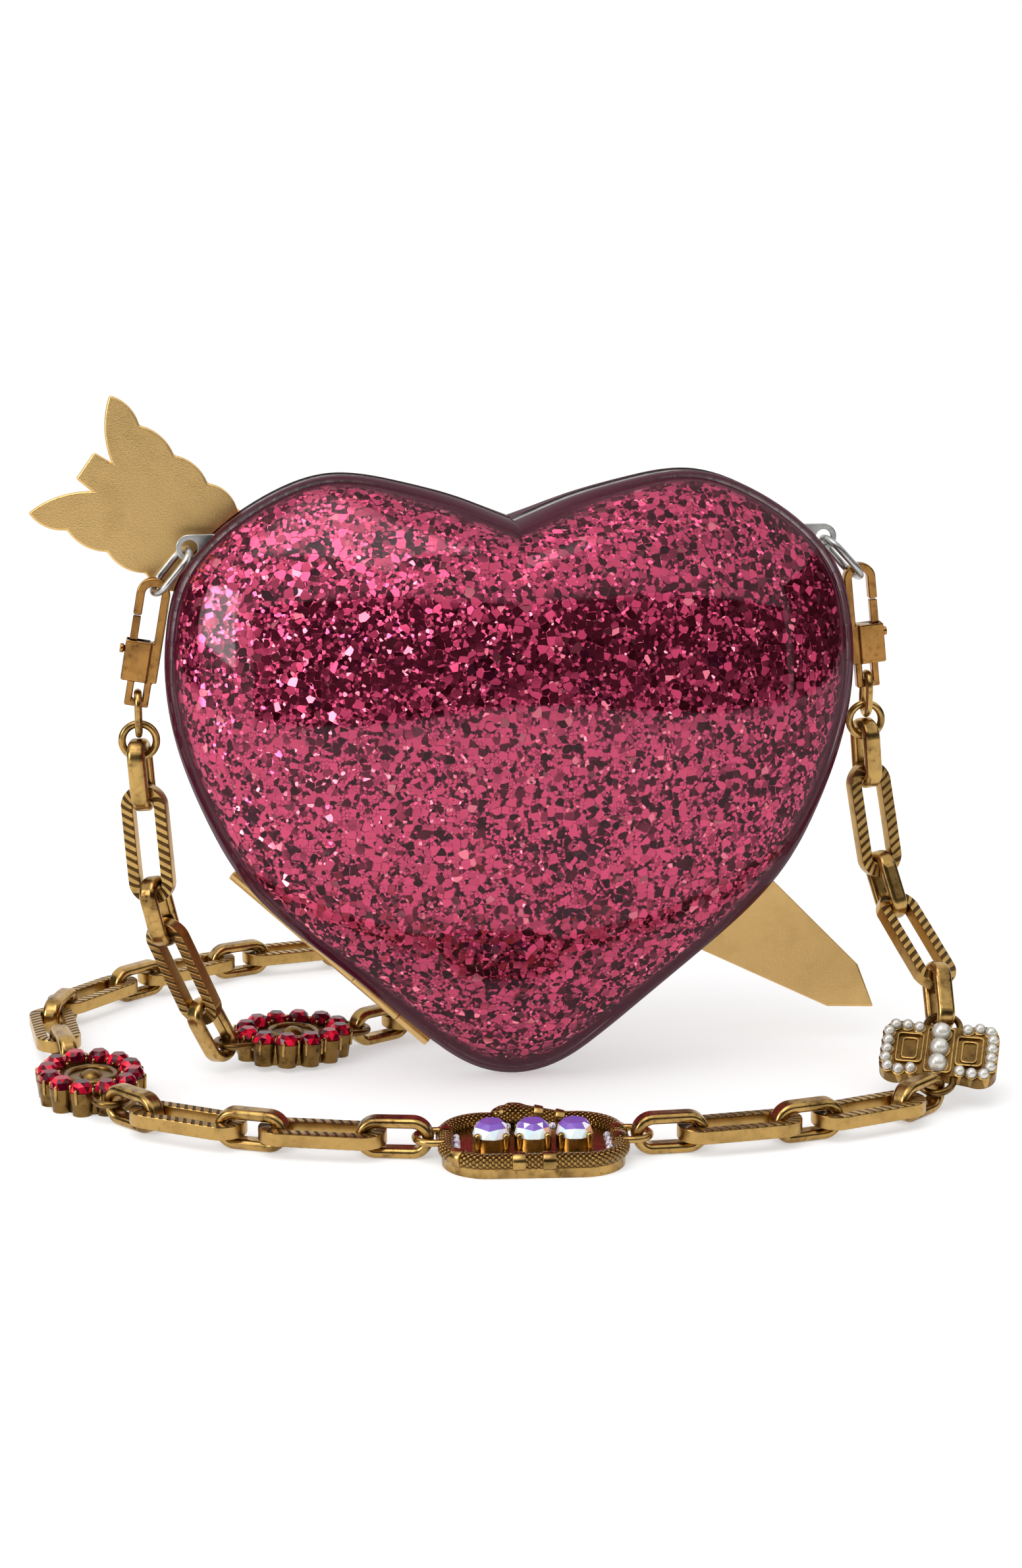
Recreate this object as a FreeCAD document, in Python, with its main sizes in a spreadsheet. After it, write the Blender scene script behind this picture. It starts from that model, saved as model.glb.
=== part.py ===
import FreeCAD, Part
import math
import os
import re

import Sketcher
from FreeCAD import Matrix, Placement, Rotation, Vector

# Driving dimensions, in millimetres
SIZES = {
    # heart case
    "heart_width": 180.0,
    "heart_height": 160.0,
    "front_dome_depth": 34.0,
    "rear_dome_depth": 34.0,
    "shell_wall": 1.8,
    "glitter_wall": 0.8,
    "lining_wall": 0.8,
    "layer_gap": 0.2,
    "frame_depth": 3.0,
    "frame_width": 6.0,
    "frame_reveal": 0.4,
    "parting_gap": 0.3,
    # hinge on the lower left edge
    "hinge_length": 70.0,
    "hinge_end_knuckle": 11.0,
    "knuckle_radius": 1.4,
    "knuckle_gap": 0.3,
    "hinge_pin_radius": 0.6,
    "hinge_pin_clearance": 0.05,
    "hinge_rebate": 1.4,
    "hinge_leaf": 0.9,
    "hinge_standoff": 0.4,
    # catch
    "magnet_radius": 2.5,
    "magnet_thickness": 1.6,
    "magnet_pad_rim": 1.4,
    # strap tabs
    "tab_thickness": 1.6,
    "tab_end_radius": 3.5,
    "tab_hole_radius": 2.05,
    "tab_reach": 11.0,
    "tab_inset": 7.2,
    "tab_flare": 5.0,
    # arrow
    "arrow_thickness": 1.6,
    "arrow_standoff": 5.0,
    "arrow_slot_clearance": 0.15,
    "tail_reach": 50.5,
    "tail_root_lap": 6.392,
    "tail_span": 36.4,
    "tail_scallop": 1.5,
    "head_reach": 69.0,
    "head_root_lap": 4.666,
    "head_root_span": 34.0,
    "head_shoulder_span": 14.3,
    "head_point": 11.0,
    "arrow_screw_radius": 1.0,
    "arrow_screw_head_radius": 1.9,
    "arrow_screw_head_height": 0.9,
    "arrow_pad_radius": 4.0,
    "arrow_pad_inset": 3.0,
    # rings between the tabs and the hooks
    "ring_length": 16.0,
    "ring_width": 11.0,
    "ring_wire": 1.9,
    # snap hooks
    "hook_length": 33.5,
    "hook_width": 8.6,
    "hook_rail": 2.2,
    "hook_depth": 3.0,
    "hook_housing_base": 6.5,
    "hook_housing_height": 10.5,
    "hook_housing_width": 6.6,
    "hook_housing_depth": 5.4,
    "hook_housing_wall": 0.7,
    "hook_bail_width": 6.2,
    "hook_bail_rail": 1.8,
    "gate_width": 2.0,
    "gate_depth": 2.2,
    "gate_clearance": 0.15,
    "gate_mouth": 6.25,
    "gate_inside": 4.2,
    "gate_travel": 2.6,
    "gate_gap": 0.3,
    "gate_knob_radius": 1.2,
    "gate_knob_reach": 2.1,
    "gate_stem_radius": 0.75,
    "spring_wire": 0.35,
    "spring_diameter": 1.6,
    # chain
    "jump_oval_length": 12.8,
    "jump_oval_width": 8.4,
    "jump_round_diameter": 10.8,
    "jump_wire": 2.0,
    "link_length": 32.0,
    "link_width": 12.2,
    "link_bar": 3.2,
    "link_thickness": 3.6,
    "link_bevel": 0.5,
    "connector_length": 19.2,
    "connector_width": 10.4,
    "connector_bar": 2.7,
    "connector_breadth": 4.8,
    "connector_rounding": 1.3,
    "ring_play": 0.62,
    "taut_play": 1.25,
    "floor_play": 1.85,
    "lug_play": 0.95,
    "lug_wire": 1.8,
    "lug_opening": 7.0,
    "strand_clearance": 1.0,
    # oval ornaments with red stones
    "medallion_length": 26.8,
    "medallion_width": 21.6,
    "cup_foot_radius": 2.5,
    "cup_rim_radius": 3.3,
    "cup_height": 6.4,
    "stone_radius": 3.05,
    "stone_table_radius": 1.8,
    "stone_height": 2.5,
    "stone_gap": 0.05,
    "boss_ring_radius": 6.4,
    "boss_ring_wire": 1.9,
    "boss_dome_radius": 3.4,
    # snake ornament
    "snake_length": 46.5,
    "snake_width": 33.0,
    "snake_corner": 12.0,
    "snake_thickness": 3.6,
    "snake_base_height": 3.0,
    "snake_head_length": 11.0,
    "snake_head_width": 5.6,
    "snake_head_height": 4.0,
    "crystal_radius": 4.6,
    "crystal_height": 3.4,
    "crystal_table_radius": 2.6,
    "crystal_pitch": 10.2,
    "crystal_seat_height": 2.6,
    "bead_radius": 0.95,
    # pearl ornament
    "pearl_plate_length": 30.0,
    "pearl_plate_round": 4.5,
    "pearl_plate_width": 23.0,
    "pearl_plate_height": 3.0,
    "pearl_waist": 3.0,
    "small_pearl_radius": 1.45,
    "large_pearl_radius": 2.55,
    "large_pearl_pitch": 5.6,
    "pearl_gap": 0.05,
}

# Half outline of the heart from the notch round to the tip, as shares of half width and of height
OUTLINE_SHARES = (
    (0.0, 0.924), (0.15, 0.9585), (0.322, 0.986), (0.531, 1.0), (0.70, 0.9675), (0.855, 0.907),
    (0.953, 0.836), (0.994, 0.745), (1.0, 0.685), (0.976, 0.58), (0.895, 0.452), (0.80, 0.355),
    (0.525, 0.2085), (0.25, 0.064), (0.115, 0.0135), (0.0, 0.0),
)
STRAIGHT_FIRST = 11
STRAIGHT_LAST = 13
CENTRE_HEIGHT_SHARE = 0.58
# Crown that the outline melts into towards the front, as shares of half width and of height
CROWN_HALF_WIDTH_SHARE = 0.94
CROWN_TOP_SHARE = 0.365
CROWN_BOTTOM_SHARE = 0.50
DOME_LEVEL_SHARES = (0.0, 0.1, 0.2163, 0.4144, 0.5736, 0.6938, 0.7838, 0.8515, 0.9021, 0.9394,
                     0.9659, 0.9836, 0.9941, 0.999)
DOME_FULLNESS = 2.5

# Places on the case, as shares of half width and of height
TAB_HEIGHT_SHARE = 0.885
NOCK_SHARES = (-1.206, 1.0144)
POINT_SHARES = (1.1357, 0.0614)
MAGNET_OUTLINE_POINT = 4
# Half outline of the fletching from the nock to its root: shares of tail reach and of half span
FLETCHING_SHARES = ((0.0, 0.225), (0.10, 0.245), (-0.056, 0.70), (-0.097, 1.0), (0.109, 0.895),
                    (0.335, 0.83), (0.553, 0.775), (0.747, 0.72), (1.0, 0.70))
SCREW_SPREAD_SHARE = 0.17

# Leans of the rings and hooks from the vertical, degrees
RING_LEAN = {"left": -40.0, "right": 43.0}
RING_TURN = {"left": 14.0, "right": -8.0}
HOOK_LEAN = {"left": -10.5, "right": 6.5}

# Chain from each hook: piece, heading about Z, steepest fall below level, both in degrees
LEFT_STRAND = (
    ("connector", 0.0, 86.0), ("link", 0.0, 86.0), ("connector", 10.0, 77.0), ("link", 15.0, 67.0),
    ("connector", 34.0, 66.0), ("medallion", 22.0, 60.0), ("connector", 29.0, 60.0),
    ("link", 36.0, 60.0), ("connector", 66.0, 60.0),
)
RIGHT_STRAND = (
    ("connector", -10.0, 86.0), ("link", -20.0, 80.0), ("connector", -48.0, 66.0),
    ("link", -70.0, 37.0), ("connector", -92.0, 58.0), ("pearls", -112.0, 60.0),
    ("connector", -138.0, 60.0), ("link", 198.0, 60.0), ("connector", 192.0, 60.0),
    ("link", 186.0, 60.0), ("connector", 180.0, 60.0), ("snake", 175.0, 60.0),
    ("connector", 169.0, 60.0), ("link", 164.0, 60.0), ("connector", 156.0, 60.0),
    ("link", 148.0, 60.0), ("connector", 128.0, 60.0), ("medallion", 108.0, 60.0),
    ("connector", 102.0, 60.0), ("link", 97.0, 60.0), ("connector", 72.0, 60.0),
    ("link", 48.0, 60.0), ("connector", 40.0, 60.0), ("link", 32.0, 60.0),
    ("connector", 22.0, 60.0), ("link", 12.0, 60.0), ("connector", -14.0, 60.0),
)
LINK_SHARE_OF_TURN = 3.0
HANGING_LINK_TURNS = {"left": (-19.0, -33.0), "right": (14.0, 18.0)}
# Angles by which the laid strands may be swung, the sharpest turn in degrees, and the elbow's gap in arms
SWING_ANGLES = sorted(range(-60, 61, 2), key=abs)
SHARPEST_TURN = 66.0
ELBOW_GAP_SHARES = (0.9, 1.9)

STONE_COUNT = 12
BEADS_LONG_SIDE = 9
BEADS_SHORT_SIDE = 4
SNAKE_HEAD_SHARE = -0.09
PEARL_FREE_SHARE = 0.33
SPRING_TURNS = 4.0

X_AXIS = Vector(1, 0, 0)
Y_AXIS = Vector(0, 1, 0)
Z_AXIS = Vector(0, 0, 1)
SIDES = {"left": -1.0, "right": 1.0}

doc = FreeCAD.newDocument("heart_purse")
sheet = doc.addObject("Spreadsheet::Sheet", "sizes")
for row, (alias, value) in enumerate(SIZES.items(), start=1):
    sheet.set("A%d" % row, alias)
    sheet.set("B%d" % row, str(value))
    sheet.setAlias("B%d" % row, alias)
doc.recompute()

nodes = {}


def mm(alias):
    """Read one driving dimension from the sheet."""
    return float(sheet.get(alias))


def formula(text):
    """Turn the size names in a formula into cells of the sheet."""
    return re.sub(r"[a-z][a-z_]+", lambda word: "sizes." + word.group(), text)


def bind(feature, **formulas):
    """Bind properties of a feature to formulas of the driving dimensions."""
    for name, text in formulas.items():
        feature.setExpression(name, formula(text))


def seat(feature, place):
    """Bind the base point of a feature to three formulas."""
    for axis, text in zip("xyz", place):
        feature.setExpression("Placement.Base." + axis, formula(text))


def box(name, size, place):
    """Block of three bound sizes with its low corner at a bound place."""
    solid = doc.addObject("Part::Box", name)
    bind(solid, Length=size[0], Width=size[1], Height=size[2])
    seat(solid, place)
    return solid


def rod(name, radius, height, place, axis=Z_AXIS):
    """Round bar of bound radius and length along an axis."""
    solid = doc.addObject("Part::Cylinder", name)
    bind(solid, Radius=radius, Height=height)
    solid.Placement = Placement(Vector(), Rotation(Z_AXIS, axis))
    seat(solid, place)
    return solid


def fuse(name, pieces):
    """One solid from overlapping pieces."""
    joined = doc.addObject("Part::MultiFuse", name)
    joined.Shapes = pieces
    return joined


def cut(name, base, tool):
    """A base with a tool taken out of it."""
    left = doc.addObject("Part::Cut", name)
    left.Base = base
    left.Tool = tool
    return left


def feature(name, shape):
    """Feature that holds a shape made from points and curves."""
    piece = doc.addObject("Part::Feature", name)
    piece.Shape = shape
    return piece


def group(name, pieces):
    """Several separate solids kept as one sub-part."""
    joined = doc.addObject("Part::Compound", name)
    joined.Links = pieces
    return joined


def copy_at(master, name, placement):
    """Copy of a finished master piece at a place of its own."""
    piece = doc.addObject("Part::Feature", name)
    piece.Shape = master.Shape
    piece.Placement = placement.multiply(master.Placement)
    return piece


def keep(name, piece):
    """Name a finished sub-part."""
    piece.Label = name
    nodes[name] = piece


def frame_at(origin, x_dir, z_hint):
    """Placement with local X along x_dir and local Z as near to z_hint as it can be."""
    x_unit = Vector(x_dir).normalize()
    z_unit = Vector(z_hint) - x_unit * x_unit.dot(z_hint)
    z_unit.normalize()
    y_unit = z_unit.cross(x_unit)
    return Placement(Matrix(
        x_unit.x, y_unit.x, z_unit.x, origin.x,
        x_unit.y, y_unit.y, z_unit.y, origin.y,
        x_unit.z, y_unit.z, z_unit.z, origin.z,
        0, 0, 0, 1))


def heading(angle):
    """Level unit vector at an angle about Z."""
    return Vector(math.cos(math.radians(angle)), math.sin(math.radians(angle)), 0)


def plane_of(body, role):
    """One of a body's own origin planes."""
    return [item for item in body.Origin.OriginFeatures if item.Role == role][0]


def sketch_on(body, name, role="XY_Plane"):
    """Empty sketch on one of a body's origin planes."""
    sketch = body.newObject("Sketcher::SketchObject", name)
    sketch.AttachmentSupport = [(plane_of(body, role), "")]
    sketch.MapMode = "FlatFace"
    return sketch


def draw_slot(sketch, length, width):
    """Long round-ended outline, centred, with its radius and reach bound to formulas."""
    first = sketch.GeometryCount
    doc.recompute()
    probe = doc.addObject("App::FeaturePython", "probe")
    probe.addProperty("App::PropertyFloat", "Reach")
    probe.addProperty("App::PropertyFloat", "Radius")
    bind(probe, Reach="(%s - (%s)) / 2" % (length, width), Radius="(%s) / 2" % width)
    doc.recompute()
    reach, radius = probe.Reach, probe.Radius
    doc.removeObject(probe.Name)
    quarter = math.pi / 2
    for sign, turn in ((1, -quarter), (-1, quarter)):
        circle = Part.Circle(Vector(sign * reach, 0, 0), Z_AXIS, radius)
        sketch.addGeometry(Part.ArcOfCircle(circle, turn, turn + math.pi))
    sketch.addGeometry(Part.LineSegment(Vector(reach, radius, 0), Vector(-reach, radius, 0)))
    sketch.addGeometry(Part.LineSegment(Vector(-reach, -radius, 0), Vector(reach, -radius, 0)))
    right, left, top, bottom = range(first, first + 4)
    for one, end_one, two, end_two in ((right, 2, top, 1), (top, 2, left, 1),
                                       (left, 2, bottom, 1), (bottom, 2, right, 1)):
        sketch.addConstraint(Sketcher.Constraint("Tangent", one, end_one, two, end_two))
    for arc, start, finish in ((right, -1, right), (left, left, -1)):
        ends = (start, 1 if start == -1 else 3, finish, 1 if finish == -1 else 3)
        index = sketch.addConstraint(Sketcher.Constraint("DistanceX", *ends, reach))
        sketch.setExpression("Constraints[%d]" % index,
                             formula("(%s - (%s)) / 2" % (length, width)))
        sketch.addConstraint(Sketcher.Constraint("PointOnObject", arc, 3, -1))
    index = sketch.addConstraint(Sketcher.Constraint("Radius", right, radius))
    sketch.setExpression("Constraints[%d]" % index, formula("(%s) / 2" % width))


def draw_loop(sketch, edges):
    """Closed outline from line and arc curves."""
    for edge in edges:
        sketch.addGeometry(edge)


def pad(body, name, sketch, length, middle=True):
    """Pad of bound length, even about the sketch plane or upwards from it."""
    step = body.newObject("PartDesign::Pad", name)
    step.Profile = sketch
    step.setExpression("Length", formula(length))
    step.Midplane = middle
    sketch.Visibility = False
    return step


def rim_edges(shape, height):
    """Names of the edges that lie at plus or minus a height."""
    names = []
    for number, edge in enumerate(shape.Edges, start=1):
        low, high = edge.BoundBox.ZMin, edge.BoundBox.ZMax
        if abs(high - low) < Part.Precision.confusion() * 10 and abs(abs(low) - height) < height / 100:
            names.append("Edge%d" % number)
    return names


def wire_ring(length, width, wire):
    """Bent wire ring with round ends, lying in the XY plane with its length along X."""
    reach = (length - width) / 2
    radius = (width - wire) / 2
    corners = [Vector(reach, -radius, 0), Vector(reach, radius, 0),
               Vector(-reach, radius, 0), Vector(-reach, -radius, 0)]
    path = Part.Wire([
        Part.Arc(corners[0], Vector(reach + radius, 0, 0), corners[1]).toShape(),
        Part.LineSegment(corners[1], corners[2]).toShape(),
        Part.Arc(corners[2], Vector(-reach - radius, 0, 0), corners[3]).toShape(),
        Part.LineSegment(corners[3], corners[0]).toShape(),
    ])
    section = Part.Wire(Part.Circle(corners[0], X_AXIS, wire / 2).toShape())
    return path.makePipeShell([section], True, False)


# Heart case

half_width = mm("heart_width") / 2
heart_height = mm("heart_height")
frame_depth = mm("frame_depth")
centre_height = CENTRE_HEIGHT_SHARE * heart_height


def case_point(shares):
    """Point of the middle plane from shares of half width and of height."""
    return Vector(shares[0] * half_width, 0, shares[1] * heart_height)


def half_outline(inset):
    """Points of the right half outline, moved inwards by an inset."""
    points = [case_point(shares) for shares in OUTLINE_SHARES]
    moved = []
    for number, point in enumerate(points):
        if number == 0:
            inward = Vector(0, 0, -1)
        elif number == len(points) - 1:
            inward = Vector(0, 0, 1)
        else:
            along = points[number + 1] - points[number - 1]
            inward = Vector(along.z, 0, -along.x).normalize()
        moved.append(point + inward * inset)
    return moved


def outline_wire(points, depth):
    """Closed outline at a depth from the points of its right half."""
    right = [Vector(point.x, depth, point.z) for point in points]
    left = [Vector(-point.x, depth, point.z) for point in reversed(points)]
    edges = []
    for side, start, finish in ((right, right[1] - right[0], -X_AXIS),
                                (left, -X_AXIS, left[-1] - left[-2])):
        travel = [0.0]
        for first, last in zip(side, side[1:]):
            travel.append(travel[-1] + (last - first).Length)
        curve = Part.BSplineCurve()
        curve.interpolate(Points=side, Parameters=travel, InitialTangent=Vector(start).normalize(),
                          FinalTangent=Vector(finish).normalize(), Scale=False)
        edges.append(curve.toShape())
    return Part.Wire(edges)


def dome_section(points, level, depth, rim):
    """Outline of the dome at one level between its rim and its crown."""
    shrink = (1 - level ** DOME_FULLNESS) ** (1 / DOME_FULLNESS)
    melt = level * level * (3 - 2 * level)
    section = []
    for point in points:
        across = point.x
        upward = point.z - centre_height
        tall = (CROWN_TOP_SHARE if upward > 0 else CROWN_BOTTOM_SHARE) * heart_height
        wide = CROWN_HALF_WIDTH_SHARE * half_width
        to_crown = 1 / math.hypot(across / wide, upward / tall)
        grow = shrink * (1 - melt + melt * to_crown)
        section.append(Vector(across * grow, 0, centre_height + upward * grow))
    return outline_wire(section, rim + depth * level)


def dome(inset, depth, facing):
    """Solid dome over the outline, bulging along facing from the back of the frame."""
    points = half_outline(inset)
    rim = facing * frame_depth
    wires = [dome_section(points, level, facing * depth, rim) for level in DOME_LEVEL_SHARES]
    return Part.makeLoft(wires, True, False)


def dome_layer(name, inset, wall, depth, facing):
    """Curved wall of even thickness under the dome's outer face."""
    outer = dome(inset, depth - inset, facing)
    inner = dome(inset + wall, depth - inset - wall, facing)
    return feature(name, outer.cut(inner))


def frame_hoop(name, facing):
    """Flat half frame that follows the outline."""
    outer = Part.Face(outline_wire(half_outline(mm("frame_reveal")), facing * frame_depth))
    inner = Part.Face(outline_wire(half_outline(mm("frame_width")), facing * frame_depth))
    reach = Vector(0, -facing * (frame_depth - mm("parting_gap") / 2), 0)
    return feature(name, outer.cut(inner).extrude(reach))


glitter_inset = mm("shell_wall") + mm("layer_gap")
lining_inset = glitter_inset + mm("glitter_wall") + mm("layer_gap")

# Hinge: local X along the lower left edge, local Y into the heart, local Z to the front

edge_first = case_point(OUTLINE_SHARES[STRAIGHT_FIRST])
edge_last = case_point(OUTLINE_SHARES[STRAIGHT_LAST])
for edge_end in (edge_first, edge_last):
    edge_end.x = -edge_end.x
hinge_place = frame_at((edge_first + edge_last) / 2, edge_last - edge_first, -Y_AXIS)

rebate = box("hinge_rebate_cut", ("hinge_length + 2 * knuckle_gap", "hinge_rebate * 4", "frame_depth * 4"),
             ("-hinge_length / 2 - knuckle_gap", "-hinge_rebate * 3", "-frame_depth * 2"))
knuckle_axis = "-knuckle_radius - hinge_standoff"
middle_knuckle = "((hinge_length - 2 * hinge_end_knuckle) / 3)"
knuckle_starts = ["-hinge_length / 2", "-hinge_length / 2 + hinge_end_knuckle",
                  "-%s / 2" % middle_knuckle, "%s / 2" % middle_knuckle,
                  "hinge_length / 2 - hinge_end_knuckle"]
knuckle_lengths = ["hinge_end_knuckle", middle_knuckle, middle_knuckle, middle_knuckle, "hinge_end_knuckle"]


def hinge_leaf(name, numbers, back):
    """Leaf strip in the frame's rebate with its own knuckles."""
    low = "(-frame_depth + parting_gap)" if back else "(parting_gap)"
    pieces = [box(name + "_strip", ("hinge_length", "hinge_rebate", "frame_depth - 2 * parting_gap"),
                  ("-hinge_length / 2", "0", low))]
    for number in numbers:
        start = "%s + knuckle_gap / 2" % knuckle_starts[number]
        length = "%s - knuckle_gap" % knuckle_lengths[number]
        pieces.append(rod("%s_knuckle_%d" % (name, number), "knuckle_radius", length,
                          (start, knuckle_axis, "0"), X_AXIS))
        web = "(-parting_gap - hinge_leaf)" if back else "parting_gap"
        pieces.append(box("%s_web_%d" % (name, number), (length, "knuckle_radius + hinge_standoff", "hinge_leaf"),
                          (start, knuckle_axis, web)))
    bore = rod(name + "_bore", "hinge_pin_radius + hinge_pin_clearance", "hinge_length * 2",
               ("-hinge_length", knuckle_axis, "0"), X_AXIS)
    return cut(name + "_bored", fuse(name + "_solid", pieces), bore)


rear_leaf = hinge_leaf("rear_leaf", (0, 2, 4), True)
front_leaf = hinge_leaf("front_leaf", (1, 3), False)
pin = rod("pin", "hinge_pin_radius", "hinge_length", ("-hinge_length / 2", knuckle_axis, "0"), X_AXIS)
doc.recompute()
keep("rear_hinge_leaf", copy_at(rear_leaf, "rear_hinge_leaf", hinge_place))
keep("front_hinge_leaf", copy_at(front_leaf, "front_hinge_leaf", hinge_place))
keep("hinge_pin", copy_at(pin, "hinge_pin", hinge_place))

# Strap tabs, let into the back of the rear frame

tab_hole = Vector(half_width - mm("tab_inset"), 0, TAB_HEIGHT_SHARE * heart_height)
tab_body = doc.addObject("PartDesign::Body", "tab_master")
tab_sketch = sketch_on(tab_body, "tab_outline")
end_radius = mm("tab_end_radius")
tab_reach = mm("tab_reach")
tab_corners = [Vector(0, end_radius, 0), Vector(-tab_reach, end_radius, 0),
               Vector(-tab_reach, -end_radius - mm("tab_flare"), 0), Vector(0, -end_radius, 0)]
draw_loop(tab_sketch, [Part.LineSegment(*tab_corners[step:step + 2]) for step in range(3)]
          + [Part.Arc(tab_corners[3], Vector(end_radius, 0, 0), tab_corners[0])])
tab_sketch.addGeometry(Part.Circle(Vector(), Z_AXIS, mm("tab_hole_radius")))
hole_index = tab_sketch.addConstraint(Sketcher.Constraint("Radius", 4, mm("tab_hole_radius")))
tab_sketch.setExpression("Constraints[%d]" % hole_index, formula("tab_hole_radius"))
pad(tab_body, "tab_plate", tab_sketch, "tab_thickness", False)
doc.recompute()
for side, sign in SIDES.items():
    hole = Vector(sign * tab_hole.x, 0, tab_hole.z)
    near = frame_depth - mm("tab_thickness") if sign < 0 else frame_depth
    place = frame_at(hole + Y_AXIS * near, X_AXIS * sign, Y_AXIS * -sign)
    tab = copy_at(tab_body, side + "_tab", place)
    keep(side + "_tab", tab)

# Arrow plates behind the tabs: local X along the shaft, local Y across it, local Z to the front

shaft_start = case_point(NOCK_SHARES)
shaft = (case_point(POINT_SHARES) - shaft_start).normalize()


def screw_line(left):
    """Points of the line inside the frame that carries a plate's screws, and where the shaft crosses it."""
    inset = mm("frame_width") + mm("arrow_pad_inset")
    edge = outline_wire(half_outline(inset), 0).Edges[1 if left else 0]
    across = shaft.cross(Y_AXIS)
    spots = edge.discretize(STRAIGHT_LAST ** 2)
    return spots, min(range(len(spots)), key=lambda spot: abs((spots[spot] - shaft_start).dot(across)))


def plate_end(left, reach):
    """Outer end of a plate on the shaft line, measured from the line of its screws."""
    spots, crossing = screw_line(left)
    return shaft_start + shaft * ((spots[crossing] - shaft_start).dot(shaft) + reach)


nock = plate_end(True, mm("tail_root_lap") - mm("tail_reach"))
point = plate_end(False, mm("head_reach") - mm("head_root_lap"))
plate_back = frame_depth + mm("arrow_standoff") + mm("arrow_thickness")


def bulge(first, last, rise):
    """Arc between two points of an outline that rises to the left of its direction."""
    middle = (first + last) / 2
    across = Vector(last - first).normalize()
    return Part.Arc(first, middle + Vector(-across.y, across.x, 0) * rise, last)


def plate(name, edges, origin):
    """Flat plate of the arrow from its outline, laid behind the frame."""
    body = doc.addObject("PartDesign::Body", name + "_body")
    sketch = sketch_on(body, name + "_outline")
    draw_loop(sketch, edges)
    pad(body, name + "_plate", sketch, "arrow_thickness", False)
    body.Placement = frame_at(origin + Y_AXIS * plate_back, shaft, -Y_AXIS)
    return body


tail_reach = mm("tail_reach")
tail_half = mm("tail_span") / 2
scallop = mm("tail_scallop")
upper = [Vector(along * tail_reach, across * tail_half, 0) for along, across in FLETCHING_SHARES]
tail_edges = [Part.LineSegment(upper[0], upper[1]), bulge(upper[1], upper[3], scallop)]
tail_edges += [bulge(upper[step], upper[step + 1], scallop) for step in range(3, 7)]
tail_edges.append(Part.LineSegment(upper[7], upper[8]))
lower = [Vector(corner.x, -corner.y, 0) for corner in upper]
tail_edges.append(Part.LineSegment(upper[8], lower[8]))
tail_edges.append(Part.LineSegment(lower[8], lower[7]))
tail_edges += [bulge(lower[step + 1], lower[step], scallop) for step in range(6, 2, -1)]
tail_edges += [bulge(lower[3], lower[1], scallop), Part.LineSegment(lower[1], lower[0])]
tail_edges.append(Part.LineSegment(lower[0], upper[0]))
tail = plate("arrow_tail", tail_edges, nock)

head_reach = mm("head_reach")
root_half = mm("head_root_span") / 2
shoulder_half = mm("head_shoulder_span") / 2
head_corners = [Vector(), Vector(-mm("head_point"), shoulder_half, 0), Vector(-head_reach, root_half, 0),
                Vector(-head_reach, -root_half, 0), Vector(-mm("head_point"), -shoulder_half, 0)]
head_edges = [Part.LineSegment(head_corners[step - 1], head_corners[step]) for step in range(5)]
head = plate("arrow_head", head_edges, point)


def screw_places(left, span):
    """Centres of the two fixing screws where a plate crosses a line inside the frame."""
    spots, crossing = screw_line(left)
    steps = int(round(span * SCREW_SPREAD_SHARE / (spots[1] - spots[0]).Length))
    return [spots[crossing - steps], spots[crossing + steps]]


screw_centres = screw_places(True, mm("tail_span"))
screw_centres += screw_places(False, mm("head_root_span"))
shank_reach = "(arrow_thickness + arrow_standoff)"
screw_master = fuse("screw_master", [
    rod("screw_shank", "arrow_screw_radius", shank_reach, ("0", "0", "0")),
    rod("screw_cap", "arrow_screw_head_radius", "arrow_screw_head_height",
        ("0", "0", "-arrow_screw_head_height")),
])
screw_hole = rod("screw_hole", "arrow_screw_radius", "%s + frame_depth" % shank_reach, ("0", "0", "-frame_depth"))
pad_master = rod("pad_master", "arrow_pad_radius", "arrow_standoff + frame_depth - parting_gap / 2",
                 ("0", "0", "arrow_thickness"))
doc.recompute()
screws = []
screw_holes = []
frame_pads = []
for number, centre in enumerate(screw_centres):
    place = frame_at(centre + Y_AXIS * plate_back, shaft, -Y_AXIS)
    screws.append(copy_at(screw_master, "arrow_screw_%d" % number, place))
    screw_holes.append(copy_at(screw_hole, "arrow_screw_hole_%d" % number, place))
    frame_pads.append(copy_at(pad_master, "arrow_pad_%d" % number, place))
holes = group("arrow_screw_holes", screw_holes)
keep("arrow_tail", cut("arrow_tail_drilled", tail, holes))
keep("arrow_head", cut("arrow_head_drilled", head, holes))
keep("arrow_screws", group("arrow_screw_set", screws))

# Catch: a magnet in each half frame, on round pads inside the upper right edge

magnet_centre = half_outline(mm("frame_width"))[MAGNET_OUTLINE_POINT]
half_gap = mm("parting_gap") / 2


def catch_disc(name, radius, thickness, facing, lift):
    """Round disc square to the frame, measured from the parting plane."""
    disc = doc.addObject("Part::Cylinder", name)
    bind(disc, Radius=radius, Height=thickness)
    disc.Placement = Placement(magnet_centre + Y_AXIS * facing * lift, Rotation(Z_AXIS, Y_AXIS * facing))
    return disc


# Frames

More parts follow.
